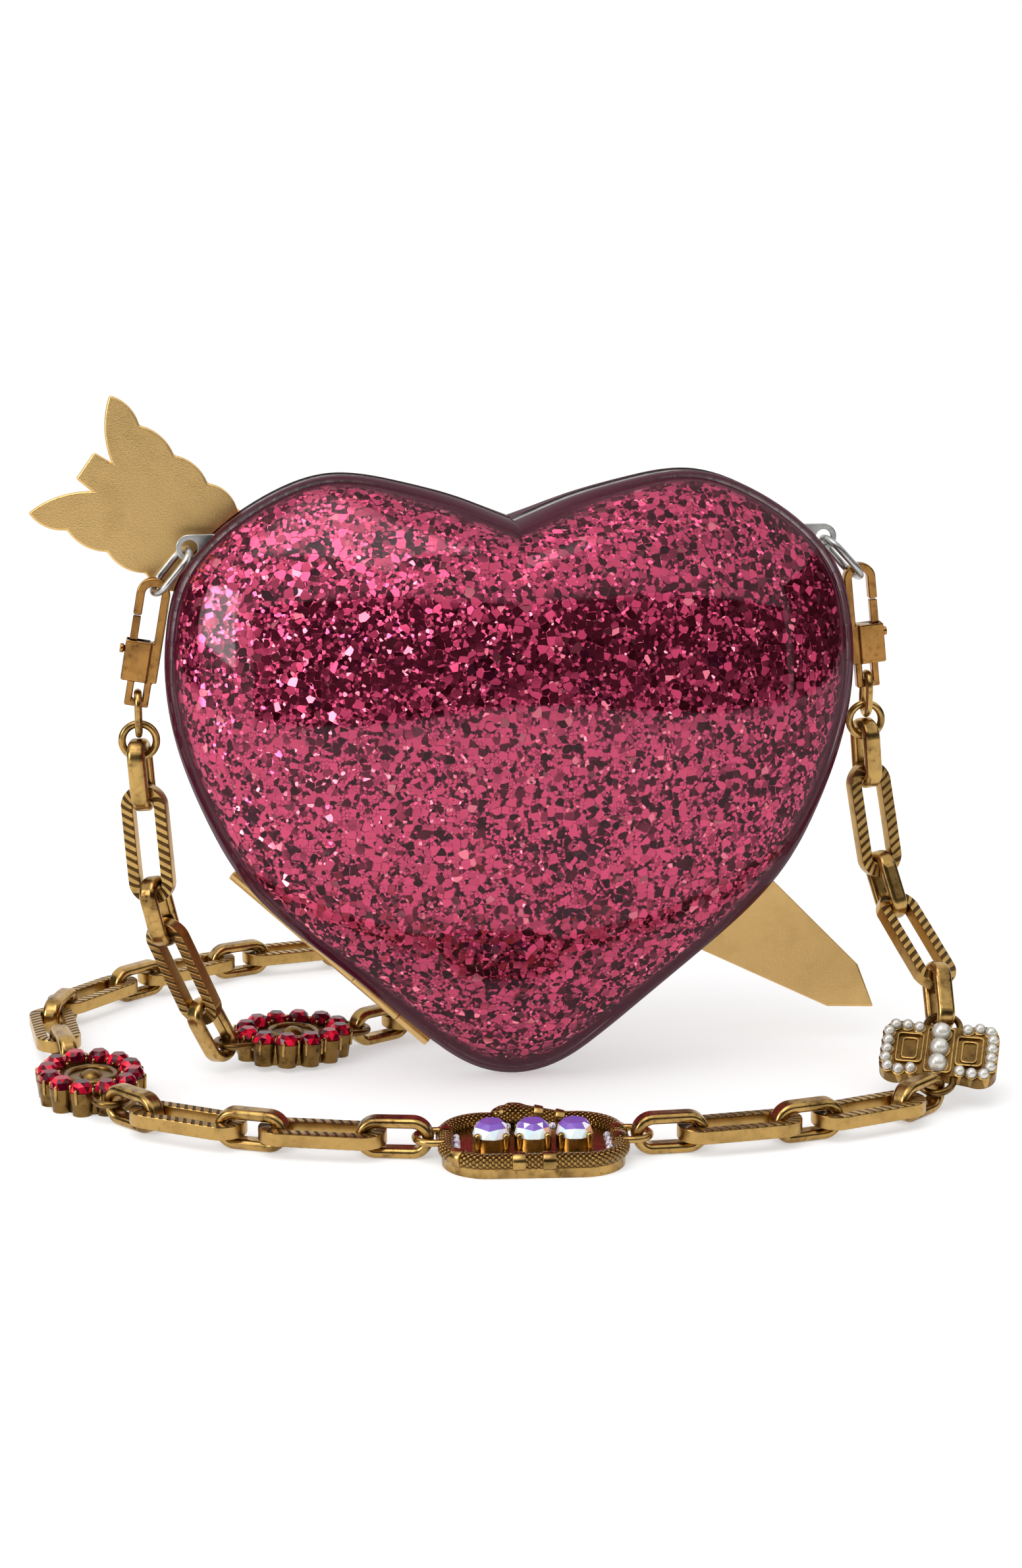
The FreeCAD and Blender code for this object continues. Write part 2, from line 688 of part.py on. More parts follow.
for half, facing, leaf_pads in (("rear", 1.0, frame_pads), ("front", -1.0, [])):
    catch_pad = catch_disc(half + "_catch_pad", "magnet_radius + magnet_pad_rim",
                           "frame_depth - parting_gap / 2", facing, half_gap)
    hoop = fuse(half + "_hoop_and_pads", [frame_hoop(half + "_hoop", facing), catch_pad] + leaf_pads)
    tools = [catch_disc(half + "_catch_seat", "magnet_radius", "magnet_thickness", facing, half_gap),
             copy_at(rebate, half + "_rebate", hinge_place)]
    if half == "rear":
        tools += [nodes["left_tab"], nodes["right_tab"], holes]
    keep(half + "_frame", cut(half + "_frame_cut", hoop, group(half + "_frame_tools", tools)))
    keep(half + "_magnet", catch_disc(half + "_catch", "magnet_radius", "magnet_thickness", facing, half_gap))

# Shells, glitter layers and linings

slot_tools = []
for name, origin, span, reach in (("tail", nock, mm("tail_span"), tail_reach),
                                  ("head", point, mm("head_root_span"), -head_reach)):
    slot = doc.addObject("Part::Box", name + "_slot")
    bind(slot, Length="%s_reach" % name, Width="%s_span + 2 * arrow_slot_clearance"
         % ("tail" if name == "tail" else "head_root"),
         Height="arrow_thickness + 2 * arrow_slot_clearance")
    low = min(0.0, reach)
    across = shaft.cross(Y_AXIS)
    corner = origin + shaft * low + across * (-span / 2 - mm("arrow_slot_clearance"))
    slot.Placement = frame_at(corner + Y_AXIS * (plate_back + mm("arrow_slot_clearance")), shaft, -Y_AXIS)
    slot_tools.append(slot)
slots = group("arrow_slots", slot_tools)
lining_trim = box("lining_trim", ("heart_width * 2", "frame_depth + arrow_standoff + arrow_thickness"
                                  " + 2 * arrow_screw_head_height", "heart_height * 2"),
                  ("-heart_width", "0", "-heart_height / 2"))

for half, facing in (("rear", 1.0), ("front", -1.0)):
    depth = mm(half + "_dome_depth")
    shell = dome_layer(half + "_shell_wall", 0.0, mm("shell_wall"), depth, facing)
    glitter = dome_layer(half + "_glitter_wall", glitter_inset, mm("glitter_wall"), depth, facing)
    lining = dome_layer(half + "_lining_wall", lining_inset, mm("lining_wall"), depth, facing)
    if half == "rear":
        shell = cut("rear_shell_slotted", shell, slots)
        glitter = cut("rear_glitter_slotted", glitter, slots)
        lining = cut("rear_lining_trimmed", lining, lining_trim)
    keep(half + "_shell", shell)
    keep(half + "_glitter", glitter)
    keep(half + "_lining", lining)

# Snap hook: local Z along its length from the bail, local X across, gate on the +X side

hook_top = "(hook_length - hook_width / 2)"
housing_top = "(hook_housing_base + hook_housing_height)"

hook_slab = box("hook_slab", ("hook_width", "hook_depth", "%s - hook_housing_base" % hook_top),
                ("-hook_width / 2", "-hook_depth / 2", "hook_housing_base"))
hook_crown = rod("hook_crown", "hook_width / 2", "hook_depth", ("0", "hook_depth / 2", hook_top), -Y_AXIS)
hook_case = box("hook_case", ("hook_housing_width", "hook_housing_depth", "hook_housing_height"),
                ("hook_width / 2 + hook_housing_wall - hook_housing_width", "-hook_housing_depth / 2",
                 "hook_housing_base"))
hook_bail = box("hook_bail", ("hook_bail_width", "hook_depth", "hook_housing_base + hook_bail_rail"),
                ("-hook_bail_width / 2", "-hook_depth / 2", "0"))
hook_eye = box("hook_eye", ("hook_width - 2 * hook_rail", "hook_depth * 2", "%s - %s" % (hook_top, housing_top)),
               ("-hook_width / 2 + hook_rail", "-hook_depth", housing_top))
hook_eye_top = rod("hook_eye_top", "hook_width / 2 - hook_rail", "hook_depth * 2",
                   ("0", "hook_depth", hook_top), -Y_AXIS)
hook_mouth = box("hook_mouth", ("hook_rail * 2", "hook_depth * 2", "gate_mouth + gate_gap"),
                 ("hook_width / 2 - hook_rail", "-hook_depth", housing_top))
bail_eye = box("bail_eye", ("hook_bail_width - 2 * hook_bail_rail", "hook_depth * 2",
                            "hook_housing_base - hook_bail_rail"),
               ("-hook_bail_width / 2 + hook_bail_rail", "-hook_depth", "hook_bail_rail"))
gate_low = "(%s - gate_inside)" % housing_top
gate_left = "(hook_width / 2 - hook_rail / 2 - gate_width / 2)"
bore_low = "(hook_housing_base + hook_housing_wall)"
gate_bore = box("gate_bore", ("gate_width + 2 * gate_clearance", "gate_depth + 2 * gate_clearance",
                              "hook_housing_height"),
                ("%s - gate_clearance" % gate_left, "-gate_depth / 2 - gate_clearance", bore_low))
knob_level = "(%s + gate_stem_radius * 2)" % gate_low
knob_slot = box("knob_slot", ("hook_rail * 2", "2 * gate_stem_radius + 2 * gate_clearance",
                              "gate_travel + 2 * gate_stem_radius + 2 * gate_clearance"),
                ("%s + gate_width / 2" % gate_left, "-gate_stem_radius - gate_clearance",
                 "%s - gate_travel - gate_stem_radius - gate_clearance" % knob_level))
hook_solid = fuse("hook_solid", [hook_slab, hook_crown, hook_case, hook_bail])
hook_master = cut("hook_master", hook_solid, group("hook_tools", [hook_eye, hook_eye_top, hook_mouth, bail_eye,
                                                                  gate_bore, knob_slot]))
gate_bar = box("gate_bar", ("gate_width", "gate_depth", "gate_mouth + gate_inside"), (gate_left, "-gate_depth / 2", gate_low))
gate_stem = rod("gate_stem", "gate_stem_radius", "gate_knob_reach + gate_width / 2",
                ("%s + gate_width / 2" % gate_left, "0", knob_level), X_AXIS)
gate_knob = rod("gate_knob", "gate_knob_radius", "gate_knob_reach / 2",
                ("%s + gate_width + gate_knob_reach / 2" % gate_left, "0", knob_level), X_AXIS)
gate_master = fuse("gate_master", [gate_bar, gate_stem, gate_knob])
doc.recompute()

housing_floor = mm("hook_housing_base") + mm("hook_housing_wall")
gate_foot = mm("hook_housing_base") + mm("hook_housing_height") - mm("gate_inside")
spring_height = gate_foot - housing_floor - mm("gate_clearance") - mm("spring_wire")
helix = Part.makeHelix(spring_height / SPRING_TURNS, spring_height, mm("spring_diameter") / 2)
coil_start = Vector(mm("spring_diameter") / 2, 0, 0)
coil_section = Part.Wire(Part.Circle(coil_start, Y_AXIS, mm("spring_wire") / 2).toShape())
spring_shape = Part.Wire(helix).makePipeShell([coil_section], True, True)
spring_shape.translate(Vector(mm("hook_width") / 2 - mm("hook_rail") / 2, 0,
                              housing_floor + (mm("gate_clearance") + mm("spring_wire")) / 2))
spring_master = feature("spring_master", spring_shape)

# Masters of the chain

link_body = doc.addObject("PartDesign::Body", "link_master")
link_sketch = sketch_on(link_body, "link_outline")
draw_slot(link_sketch, "link_length", "link_width")
draw_slot(link_sketch, "(link_length - 2 * link_bar)", "(link_width - 2 * link_bar)")
link_pad = pad(link_body, "link_pad", link_sketch, "link_thickness")
doc.recompute()
link_bevel = link_body.newObject("PartDesign::Chamfer", "link_bevel_step")
link_bevel.Base = (link_pad, rim_edges(link_pad.Shape, mm("link_thickness") / 2))
link_bevel.setExpression("Size", formula("link_bevel"))

connector_body = doc.addObject("PartDesign::Body", "connector_master")
connector_sketch = sketch_on(connector_body, "connector_outline")
draw_slot(connector_sketch, "connector_length", "connector_width")
draw_slot(connector_sketch, "(connector_length - 2 * connector_bar)", "(connector_width - 2 * connector_bar)")
connector_pad = pad(connector_body, "connector_pad", connector_sketch, "connector_breadth")
doc.recompute()
connector_round = connector_body.newObject("PartDesign::Fillet", "connector_round_step")
connector_round.Base = (connector_pad, rim_edges(connector_pad.Shape, mm("connector_breadth") / 2))
connector_round.setExpression("Radius", formula("connector_rounding"))

oval_master = feature("jump_oval_master", wire_ring(mm("jump_oval_length"), mm("jump_oval_width"), mm("jump_wire")))
round_master = doc.addObject("Part::Torus", "jump_round_master")
bind(round_master, Radius1="(jump_round_diameter - jump_wire) / 2", Radius2="jump_wire / 2")
ring_master = feature("ring_master", wire_ring(mm("ring_length"), mm("ring_width"), mm("ring_wire")))
doc.recompute()

low_level = mm("connector_width") / 2
link_pitch = mm("link_length") - mm("link_bar")
connector_span = mm("connector_length") - mm("connector_bar")
lug_room = mm("lug_wire") / 2 + mm("connector_bar") + 2 * mm("lug_play")
medallion_half = mm("medallion_length") / 2 + mm("cup_rim_radius")
pearl_half = mm("pearl_plate_width") / 2 - mm("pearl_waist")
PITCHES = {"link": link_pitch, "medallion": 2 * (medallion_half + lug_room),
           "snake": mm("snake_length") + 2 * lug_room, "pearls": 2 * (pearl_half + lug_room)}


def lug(name, pitch, body_half, wire):
    """Wire loop that stands out from the end of an ornament, open to the connector."""
    bar = pitch / 2
    radius = (mm("lug_opening") + wire) / 2
    root = body_half - wire
    path = Part.Wire([
        Part.LineSegment(Vector(root, -radius, 0), Vector(bar - radius, -radius, 0)).toShape(),
        Part.Arc(Vector(bar - radius, -radius, 0), Vector(bar, 0, 0), Vector(bar - radius, radius, 0)).toShape(),
        Part.LineSegment(Vector(bar - radius, radius, 0), Vector(root, radius, 0)).toShape(),
    ])
    section = Part.Wire(Part.Circle(Vector(root, -radius, 0), X_AXIS, wire / 2).toShape())
    loop = path.makePipeShell([section], True, False)
    loop.translate(Z_AXIS * low_level)
    mirrored = loop.mirror(Vector(), X_AXIS)
    return [feature(name + "_front_lug", loop), feature(name + "_back_lug", mirrored)]


def turned(name, profile):
    """Solid turned about Z from the corners of its half profile."""
    corners = [Vector(radius, 0, height) for radius, height in profile]
    face = Part.Face(Part.makePolygon(corners + corners[:1]))
    return feature(name, face.revolve(Vector(), Z_AXIS, 360))


# Oval ornament with a ring of stones

med_a = mm("medallion_length") / 2
med_b = mm("medallion_width") / 2
cup_master = doc.addObject("Part::Cone", "cup_master")
bind(cup_master, Radius1="cup_foot_radius", Radius2="cup_rim_radius", Height="cup_height")
stone_master = turned("stone_master", (
    (0, 0), (mm("stone_radius"), 0), (mm("stone_radius"), mm("stone_height") / 4),
    (mm("stone_table_radius"), mm("stone_height")), (0, mm("stone_height"))))
doc.recompute()
base_rim = Part.Wire(Part.Ellipse(Vector(), med_a, med_b).toShape())
stone_spots = base_rim.discretize(STONE_COUNT + 1)[:-1]
cups = [copy_at(cup_master, "cup_%d" % number, Placement(spot, Rotation()))
        for number, spot in enumerate(stone_spots)]
base_plate = feature("medallion_plate", Part.Face(base_rim).extrude(
    Z_AXIS * (low_level + mm("lug_wire") / 2)))
boss_ring = doc.addObject("Part::Torus", "boss_ring")
bind(boss_ring, Radius1="boss_ring_radius", Radius2="boss_ring_wire / 2")
seat(boss_ring, ("0", "0", "(connector_width + lug_wire) / 2"))
boss_dome = doc.addObject("Part::Sphere", "boss_dome")
bind(boss_dome, Radius="boss_dome_radius")
seat(boss_dome, ("0", "0", "(connector_width + lug_wire - boss_dome_radius) / 2"))
medallion_master = fuse("medallion_master", cups + [base_plate, boss_ring, boss_dome]
                        + lug("medallion", PITCHES["medallion"], med_a, mm("lug_wire")))
medallion_stones = group("medallion_stones_master", [
    copy_at(stone_master, "stone_%d" % number,
            Placement(spot + Z_AXIS * (mm("cup_height") + mm("stone_gap")), Rotation()))
    for number, spot in enumerate(stone_spots)])

# Snake ornament


def rounded_box(length, width, corner):
    """Rounded rectangle wire in the XY plane."""
    half_long, half_wide = length / 2, width / 2
    slant = corner * (1 - math.sqrt(0.5))
    edges = []
    for turn_x, turn_y in ((1, 1), (-1, 1), (-1, -1), (1, -1)):
        start = Vector(turn_x * half_long, turn_y * (half_wide - corner), 0)
        middle = Vector(turn_x * (half_long - slant), turn_y * (half_wide - slant), 0)
        finish = Vector(turn_x * (half_long - corner), turn_y * half_wide, 0)
        edges.append((start, middle, finish) if turn_x * turn_y > 0 else (finish, middle, start))
    outline = []
    for number, (start, middle, finish) in enumerate(edges):
        outline.append(Part.Arc(start, middle, finish).toShape())
        outline.append(Part.LineSegment(finish, edges[(number + 1) % 4][0]).toShape())
    return Part.Wire(outline)


thick = mm("snake_thickness")
spine = rounded_box(mm("snake_length") - thick, mm("snake_width") - thick, mm("snake_corner") - thick / 2)
spine_start = spine.Edges[0].Vertexes[0].Point
snake_section = Part.Wire(Part.Circle(spine_start, Y_AXIS, thick / 2).toShape())
snake_tube = spine.makePipeShell([snake_section], True, False)
snake_level = mm("snake_base_height") + thick / 2 - mm("snake_base_height") / 4
snake_tube.translate(Z_AXIS * snake_level)
snake_base = Part.Face(rounded_box(mm("snake_length") - thick / 2, mm("snake_width") - thick / 2,
                                   mm("snake_corner") - thick / 4)).extrude(Z_AXIS * mm("snake_base_height"))
head_scale = Matrix()
head_scale.scale(mm("snake_head_length") / 2, mm("snake_head_width") / 2, mm("snake_head_height") / 2)
snake_head = Part.makeSphere(1).transformGeometry(head_scale)
snake_head.translate(Vector(SNAKE_HEAD_SHARE * mm("snake_length"), (mm("snake_width") - thick) / 2,
                            snake_level + thick / 2))
crystal_level = mm("snake_base_height") + mm("crystal_seat_height")
crystal_spots = [Vector(step * mm("crystal_pitch"), 0, 0) for step in (-1, 0, 1)]
seat_shapes = [Part.makeCylinder(mm("crystal_radius"), mm("crystal_seat_height"),
                                 spot + Z_AXIS * mm("snake_base_height")) for spot in crystal_spots]
snake_parts = [feature("snake_body", snake_tube), feature("snake_tray", snake_base),
               feature("snake_head", snake_head)]
snake_parts += [feature("crystal_seat_%d" % number, shape) for number, shape in enumerate(seat_shapes)]
snake_master = fuse("snake_master", snake_parts + lug("snake", PITCHES["snake"], mm("snake_length") / 2,
                                                      mm("lug_wire")))
crystal_master = turned("crystal_master", (
    (0, 0), (mm("crystal_radius"), 0), (mm("crystal_radius"), mm("crystal_height") / 4),
    (mm("crystal_table_radius"), mm("crystal_height")), (0, mm("crystal_height"))))
crystal_set = group("crystal_set_master", [
    copy_at(crystal_master, "crystal_%d" % number,
            Placement(spot + Z_AXIS * (crystal_level + mm("stone_gap")), Rotation()))
    for number, spot in enumerate(crystal_spots)])

bead = mm("bead_radius")
row_long = mm("snake_width") / 2 - thick - bead * 1.1
row_short = mm("snake_length") / 2 - thick - bead * 1.1
bead_spots = []
straight_long = mm("snake_length") / 2 - mm("snake_corner")
straight_short = mm("snake_width") / 2 - mm("snake_corner")
for step in range(BEADS_LONG_SIDE):
    share = 2.0 * step / (BEADS_LONG_SIDE - 1) - 1
    bead_spots += [Vector(share * straight_long, sign * row_long, 0) for sign in (-1, 1)]
for step in range(BEADS_SHORT_SIDE):
    share = 2.0 * step / (BEADS_SHORT_SIDE - 1) - 1
    bead_spots += [Vector(sign * row_short, share * straight_short, 0) for sign in (-1, 1)]
bead_set = feature("bead_set_master", Part.makeCompound([
    Part.makeSphere(bead, spot + Z_AXIS * (mm("snake_base_height") + mm("stone_gap")), Z_AXIS, 0, 90, 360)
    for spot in bead_spots]))

# Pearl ornament, its long side across the chain

plate_half = mm("pearl_plate_length") / 2
plate_wide = mm("pearl_plate_width") / 2
waist = mm("pearl_waist")
small = mm("small_pearl_radius")
plate_corners = [Vector(sign_x * plate_wide, sign_y * plate_half, 0)
                 for sign_x, sign_y in ((1, -1), (1, 1), (-1, 1), (-1, -1))]
waist_points = [Vector(plate_wide - waist, 0, 0), Vector(-plate_wide + waist, 0, 0)]
plate_outline = Part.Wire([
    Part.Arc(plate_corners[0], waist_points[0], plate_corners[1]).toShape(),
    Part.LineSegment(plate_corners[1], plate_corners[2]).toShape(),
    Part.Arc(plate_corners[2], waist_points[1], plate_corners[3]).toShape(),
    Part.LineSegment(plate_corners[3], plate_corners[0]).toShape(),
])
pearl_foot = low_level - mm("lug_wire")
pearl_plate_shape = Part.Face(plate_outline).extrude(Z_AXIS * mm("pearl_plate_height"))
upright_edges = [edge for edge in pearl_plate_shape.Edges if abs(edge.tangentAt(edge.FirstParameter).z) > 0.5]
pearl_plate_shape = pearl_plate_shape.makeFillet(mm("pearl_plate_round"), upright_edges)
pearl_plate_shape.translate(Z_AXIS * pearl_foot)
pearl_face = max(pearl_plate_shape.Faces, key=lambda face: face.CenterOfMass.z)
pearl_path = pearl_face.OuterWire.makeOffset2D(-small * 1.1)
pearl_count = 2 * int(round(pearl_path.Length / (4 * small * 1.12)))
small_level = pearl_foot + mm("pearl_plate_height") + small * 0.5
large_level = pearl_foot + mm("pearl_plate_height") + mm("large_pearl_radius") * 0.5
pearl_spots = [Vector(spot.x, spot.y, small_level) for spot in pearl_path.discretize(Number=pearl_count + 1)[:-1]
               if abs(spot.y) > plate_half * PEARL_FREE_SHARE]
large_spots = [Vector(step * mm("large_pearl_pitch"), 0, large_level) for step in (-1, 0, 1)]
sockets = [Part.makeSphere(small + mm("pearl_gap"), spot) for spot in pearl_spots]
sockets += [Part.makeSphere(mm("large_pearl_radius") + mm("pearl_gap"), spot) for spot in large_spots]
pearl_setting = cut("pearl_setting_cut", feature("pearl_plate_blank", pearl_plate_shape),
                    feature("pearl_sockets", Part.makeCompound(sockets)))
pearl_master = fuse("pearl_master", [pearl_setting] + lug("pearl", PITCHES["pearls"], pearl_half,
                                                          mm("lug_wire")))
small_pearls = feature("small_pearls_master", Part.makeCompound([
    Part.makeSphere(small, spot) for spot in pearl_spots]))
large_pearls = feature("large_pearls_master", Part.makeCompound([
    Part.makeSphere(mm("large_pearl_radius"), spot) for spot in large_spots]))
doc.recompute()

# Rings and hooks at each side

strand_starts = {}
play = mm("ring_play")
ring_pitch = mm("ring_length") - mm("ring_wire")
hook_inner_top = mm("hook_length") - mm("hook_rail")
oval_pitch = mm("jump_oval_length") - mm("jump_wire")
round_pitch = mm("jump_round_diameter") - mm("jump_wire")
for side, sign in SIDES.items():
    lean = math.radians(RING_LEAN[side])
    ring_dir = Vector(math.sin(lean), 0, -math.cos(lean))
    hole_centre = Vector(sign * tab_hole.x, frame_depth - mm("tab_thickness") / 2, tab_hole.z)
    ring_top = hole_centre + ring_dir * (mm("tab_hole_radius") - mm("ring_wire") / 2 - play)
    turn = math.radians(RING_TURN[side])
    ring_across = Y_AXIS * math.cos(turn) + ring_dir.cross(Y_AXIS) * (sign * math.sin(turn))
    ring_place = frame_at(ring_top + ring_dir * (ring_pitch / 2), ring_dir, ring_dir.cross(ring_across))
    keep(side + "_ring", copy_at(ring_master, side + "_ring", ring_place))

    hook_lean = math.radians(HOOK_LEAN[side])
    hook_dir = Vector(math.sin(hook_lean), 0, -math.cos(hook_lean))
    wire_centre = ring_top + ring_dir * ring_pitch
    hook_base = wire_centre + hook_dir * (hook_inner_top - mm("ring_wire") / 2 - play)
    hook_place = frame_at(hook_base, hook_dir.cross(Y_AXIS) * sign, -hook_dir)
    keep(side + "_hook_body", copy_at(hook_master, side + "_hook_body", hook_place))
    keep(side + "_hook_gate", copy_at(gate_master, side + "_hook_gate", hook_place))
    keep(side + "_hook_spring", copy_at(spring_master, side + "_hook_spring", hook_place))

    down = Vector(0, 0, -1)
    oval_top = hook_base - hook_dir * (mm("hook_bail_rail") + mm("jump_wire") / 2 + play)
    oval_place = frame_at(oval_top + down * (oval_pitch / 2), down, X_AXIS)
    keep(side + "_oval_ring", copy_at(oval_master, side + "_oval_ring", oval_place))
    round_top = oval_top + down * (oval_pitch - mm("jump_wire") - play)
    round_place = frame_at(round_top + down * (round_pitch / 2), down, Y_AXIS)
    keep(side + "_round_ring", copy_at(round_master, side + "_round_ring", round_place))
    round_bottom = round_top + down * round_pitch
    strand_starts[side] = round_bottom


def pin_reach(kind, hanging):
    """Distance from the bar of a neighbour to the end bar of the connector looped through it."""
    if kind == "ring":
        return (mm("jump_wire") + mm("connector_bar")) / 2 + mm("taut_play")
    if kind == "link":
        play = mm("taut_play") if hanging else mm("floor_play")
        return (mm("link_bar") + mm("connector_bar")) / 2 + play
    return (mm("lug_wire") + mm("connector_bar")) / 2 + mm("lug_play")


def drape(start, strand, swing):
    """Pieces of a strand, each as steep as it may fall, and swung where the strand lies at the low level."""
    kinds = ["ring"] + [piece[0] for piece in strand] + ["link"]
    here = start
    laid = []
    for number, (kind, angle, steepest) in enumerate(strand):
        hanging = here.z - low_level > link_pitch / 4
        reaches = (pin_reach(kinds[number], hanging), pin_reach(kinds[number + 2], hanging))
        length = connector_span - sum(reaches) if kind == "connector" else PITCHES[kind]
        fall = min(length * math.sin(math.radians(steepest)), here.z - low_level)
        run = math.sqrt(length ** 2 - fall ** 2)
        there = here + heading(angle if hanging else angle + swing) * run - Z_AXIS * fall
        laid.append((kind, here, there, reaches))
        here = there
    return laid


# The two strands meet behind the heart in two more links and one more connector
floor_reach = pin_reach("link", False)
arm = link_pitch + connector_span / 2 - floor_reach
stone_rim = mm("cup_rim_radius")
HALF_WIDTHS = {"connector": mm("connector_width") / 2, "link": mm("link_width") / 2,
               "medallion": (mm("medallion_width") + mm("medallion_length")) / 4 + stone_rim,
               "snake": mm("snake_width") / 2, "pearls": mm("pearl_plate_length") / 2}


def elbow_of(left, right):
    """Middle of the closing connector behind the heart."""
    between = right[-1][2] - left[-1][2]
    rise = math.sqrt(max(0.0, arm ** 2 - (between.Length / 2) ** 2))
    return left[-1][2] + between / 2 + Vector(between.y, -between.x, 0).normalize() * rise


def turn_between(first, second):
    """Angle in degrees between two directions on the floor."""
    return math.degrees(Vector(first.x, first.y, 0).getAngle(Vector(second.x, second.y, 0)))


def well_laid(left, right):
    """Whether two strands lie clear of each other and close without a sharp turn."""
    gap = (right[-1][2] - left[-1][2]).Length / arm
    if not ELBOW_GAP_SHARES[0] <= gap <= ELBOW_GAP_SHARES[1]:
        return False
    elbow = elbow_of(left, right)
    path = [left[-2][2] - left[-2][1], elbow - left[-1][2], right[-1][2] - elbow, right[-2][1] - right[-2][2]]
    if any(turn_between(first, second) > SHARPEST_TURN for first, second in zip(path, path[1:])):
        return False
    for kind, first, last, _ in left:
        for other, start, end, _ in right:
            needed = HALF_WIDTHS[kind] + HALF_WIDTHS[other] + mm("strand_clearance")
            for spot in (first, (first + last) / 2, last):
                apart = ((start + end) / 2 - spot) if other in ORNAMENT_KINDS else (start - spot)
                if abs(apart.z) < link_pitch / 2 and math.hypot(apart.x, apart.y) < needed:
                    return False
    return True


ORNAMENT_KINDS = ("medallion", "snake", "pearls")
MEDALLION_NAMES = ("rear_medallion", "front_medallion")
left_swings = {swing: drape(strand_starts["left"], LEFT_STRAND, swing) for swing in SWING_ANGLES}
right_swings = {swing: drape(strand_starts["right"], RIGHT_STRAND, swing) for swing in SWING_ANGLES}
swing_pairs = sorted(((left, right) for left in SWING_ANGLES for right in SWING_ANGLES),
                     key=lambda pair: abs(pair[0]) + abs(pair[1]))
left_swing, right_swing = next((pair for pair in swing_pairs
                                if well_laid(left_swings[pair[0]], right_swings[pair[1]])), (0, 0))
left_laid = left_swings[left_swing]
right_laid = right_swings[right_swing]
left_end = left_laid[-1][2]
right_end = right_laid[-1][2]
elbow = elbow_of(left_laid, right_laid)
left_tip = left_end + (elbow - left_end).normalize() * link_pitch
right_tip = right_end + (elbow - right_end).normalize() * link_pitch

ordered = [(kind, first, last, reaches, "left") for kind, first, last, reaches in left_laid]
ordered += [("link", left_end, left_tip, (0, 0), "left"),
            ("connector", left_tip, right_tip, (floor_reach, floor_reach), "left"),
            ("link", right_tip, right_end, (0, 0), "left")]
ordered += [(kind, last, first, reaches[::-1], "right") for kind, first, last, reaches in reversed(right_laid)]


def steep(piece):
    """Whether a piece falls more than it runs."""
    along = piece[2] - piece[1]
    return abs(along.z) > math.hypot(along.x, along.y)


def width_direction(number):
    """Direction of the bars of a piece: level where it lies, turned where it hangs."""
    if not 0 <= number < len(ordered):
        return X_AXIS
    along = (ordered[number][2] - ordered[number][1]).normalize()
    if not steep(ordered[number]):
        return Vector(-along.y, along.x, 0).normalize()
    side = ordered[number][4]
    hanging = [place for place, piece in enumerate(ordered)
               if piece[0] != "connector" and piece[4] == side and steep(piece)]
    if side == "right":
        hanging.reverse()
    across = heading(HANGING_LINK_TURNS[side][min(hanging.index(number), len(HANGING_LINK_TURNS[side]) - 1)])
    return (across - along * along.dot(across)).normalize()


def run_direction(number, fallback):
    """Unit vector along a piece of the chain."""
    if not 0 <= number < len(ordered):
        return fallback
    return (ordered[number][2] - ordered[number][1]).normalize()


links = []
connectors = []
ornaments = []
for number, (kind, first, last, reaches, side) in enumerate(ordered):
    along = (last - first).normalize()
    if kind == "connector":
        before, after = width_direction(number - 1), width_direction(number + 1)
        if before.dot(after) < 0:
            after = -after
        weights = [LINK_SHARE_OF_TURN if 0 <= place < len(ordered) and ordered[place][0] == "link" else 1.0
                   for place in (number - 1, number + 1)]
        normal = before * weights[0] + after * weights[1]
        normal = (normal - along * along.dot(normal)).normalize()
        lean_first = run_direction(number - 1, along).dot(normal)
        lean_last = run_direction(number + 1, along).dot(normal)
        end_first = first - (along + normal * lean_first) * reaches[0]
        end_last = last + (along + normal * lean_last) * reaches[1]
        passed = [ornament for ornament, _ in ornaments].count("medallion")
        connectors.append((frame_at((end_first + end_last) / 2, end_last - end_first, normal), side,
                           "rear" if passed < len(MEDALLION_NAMES) else "front"))
    else:
        normal = along.cross(width_direction(number))
        if normal.z < 0:
            normal = -normal
        place = frame_at((first + last) / 2, along, normal)
        if kind == "link":
            links.append(place)
        else:
            ornaments.append((kind, place.multiply(Placement(Vector(0, 0, -low_level), Rotation()))))

for number, place in enumerate(links, start=1):
    name = "long_link_%02d" % number
    keep(name, copy_at(link_body, name, place))

connector_groups = {"left_drop": [], "rear": [], "front": [], "right_drop": []}
for number, (place, side, stretch) in enumerate(connectors, start=1):
    piece = copy_at(connector_body, "connector_%02d" % number, place)
    if place.Base.z > low_level * 1.2:
        connector_groups[side + "_drop"].append(piece)
    else:
        connector_groups[stretch].append(piece)
for name, members in connector_groups.items():
    keep(name + "_connectors", group(name + "_connectors", members))

medallion_names = iter(MEDALLION_NAMES)
for kind, place in ornaments:
    if kind == "medallion":
        name = next(medallion_names)
        keep(name + "_setting", copy_at(medallion_master, name + "_setting", place))
        keep(name + "_stones", copy_at(medallion_stones, name + "_stones", place))
    elif kind == "snake":
        keep("snake_frame", copy_at(snake_master, "snake_frame", place))
        keep("snake_crystals", copy_at(crystal_set, "snake_crystals", place))
        keep("snake_small_stones", copy_at(bead_set, "snake_small_stones", place))
    else:
        keep("pearl_setting", copy_at(pearl_master, "pearl_setting", place))
        keep("small_pearls", copy_at(small_pearls, "small_pearls", place))
        keep("large_pearls", copy_at(large_pearls, "large_pearls", place))

# Every feature and every sub-part is sound before anything is written

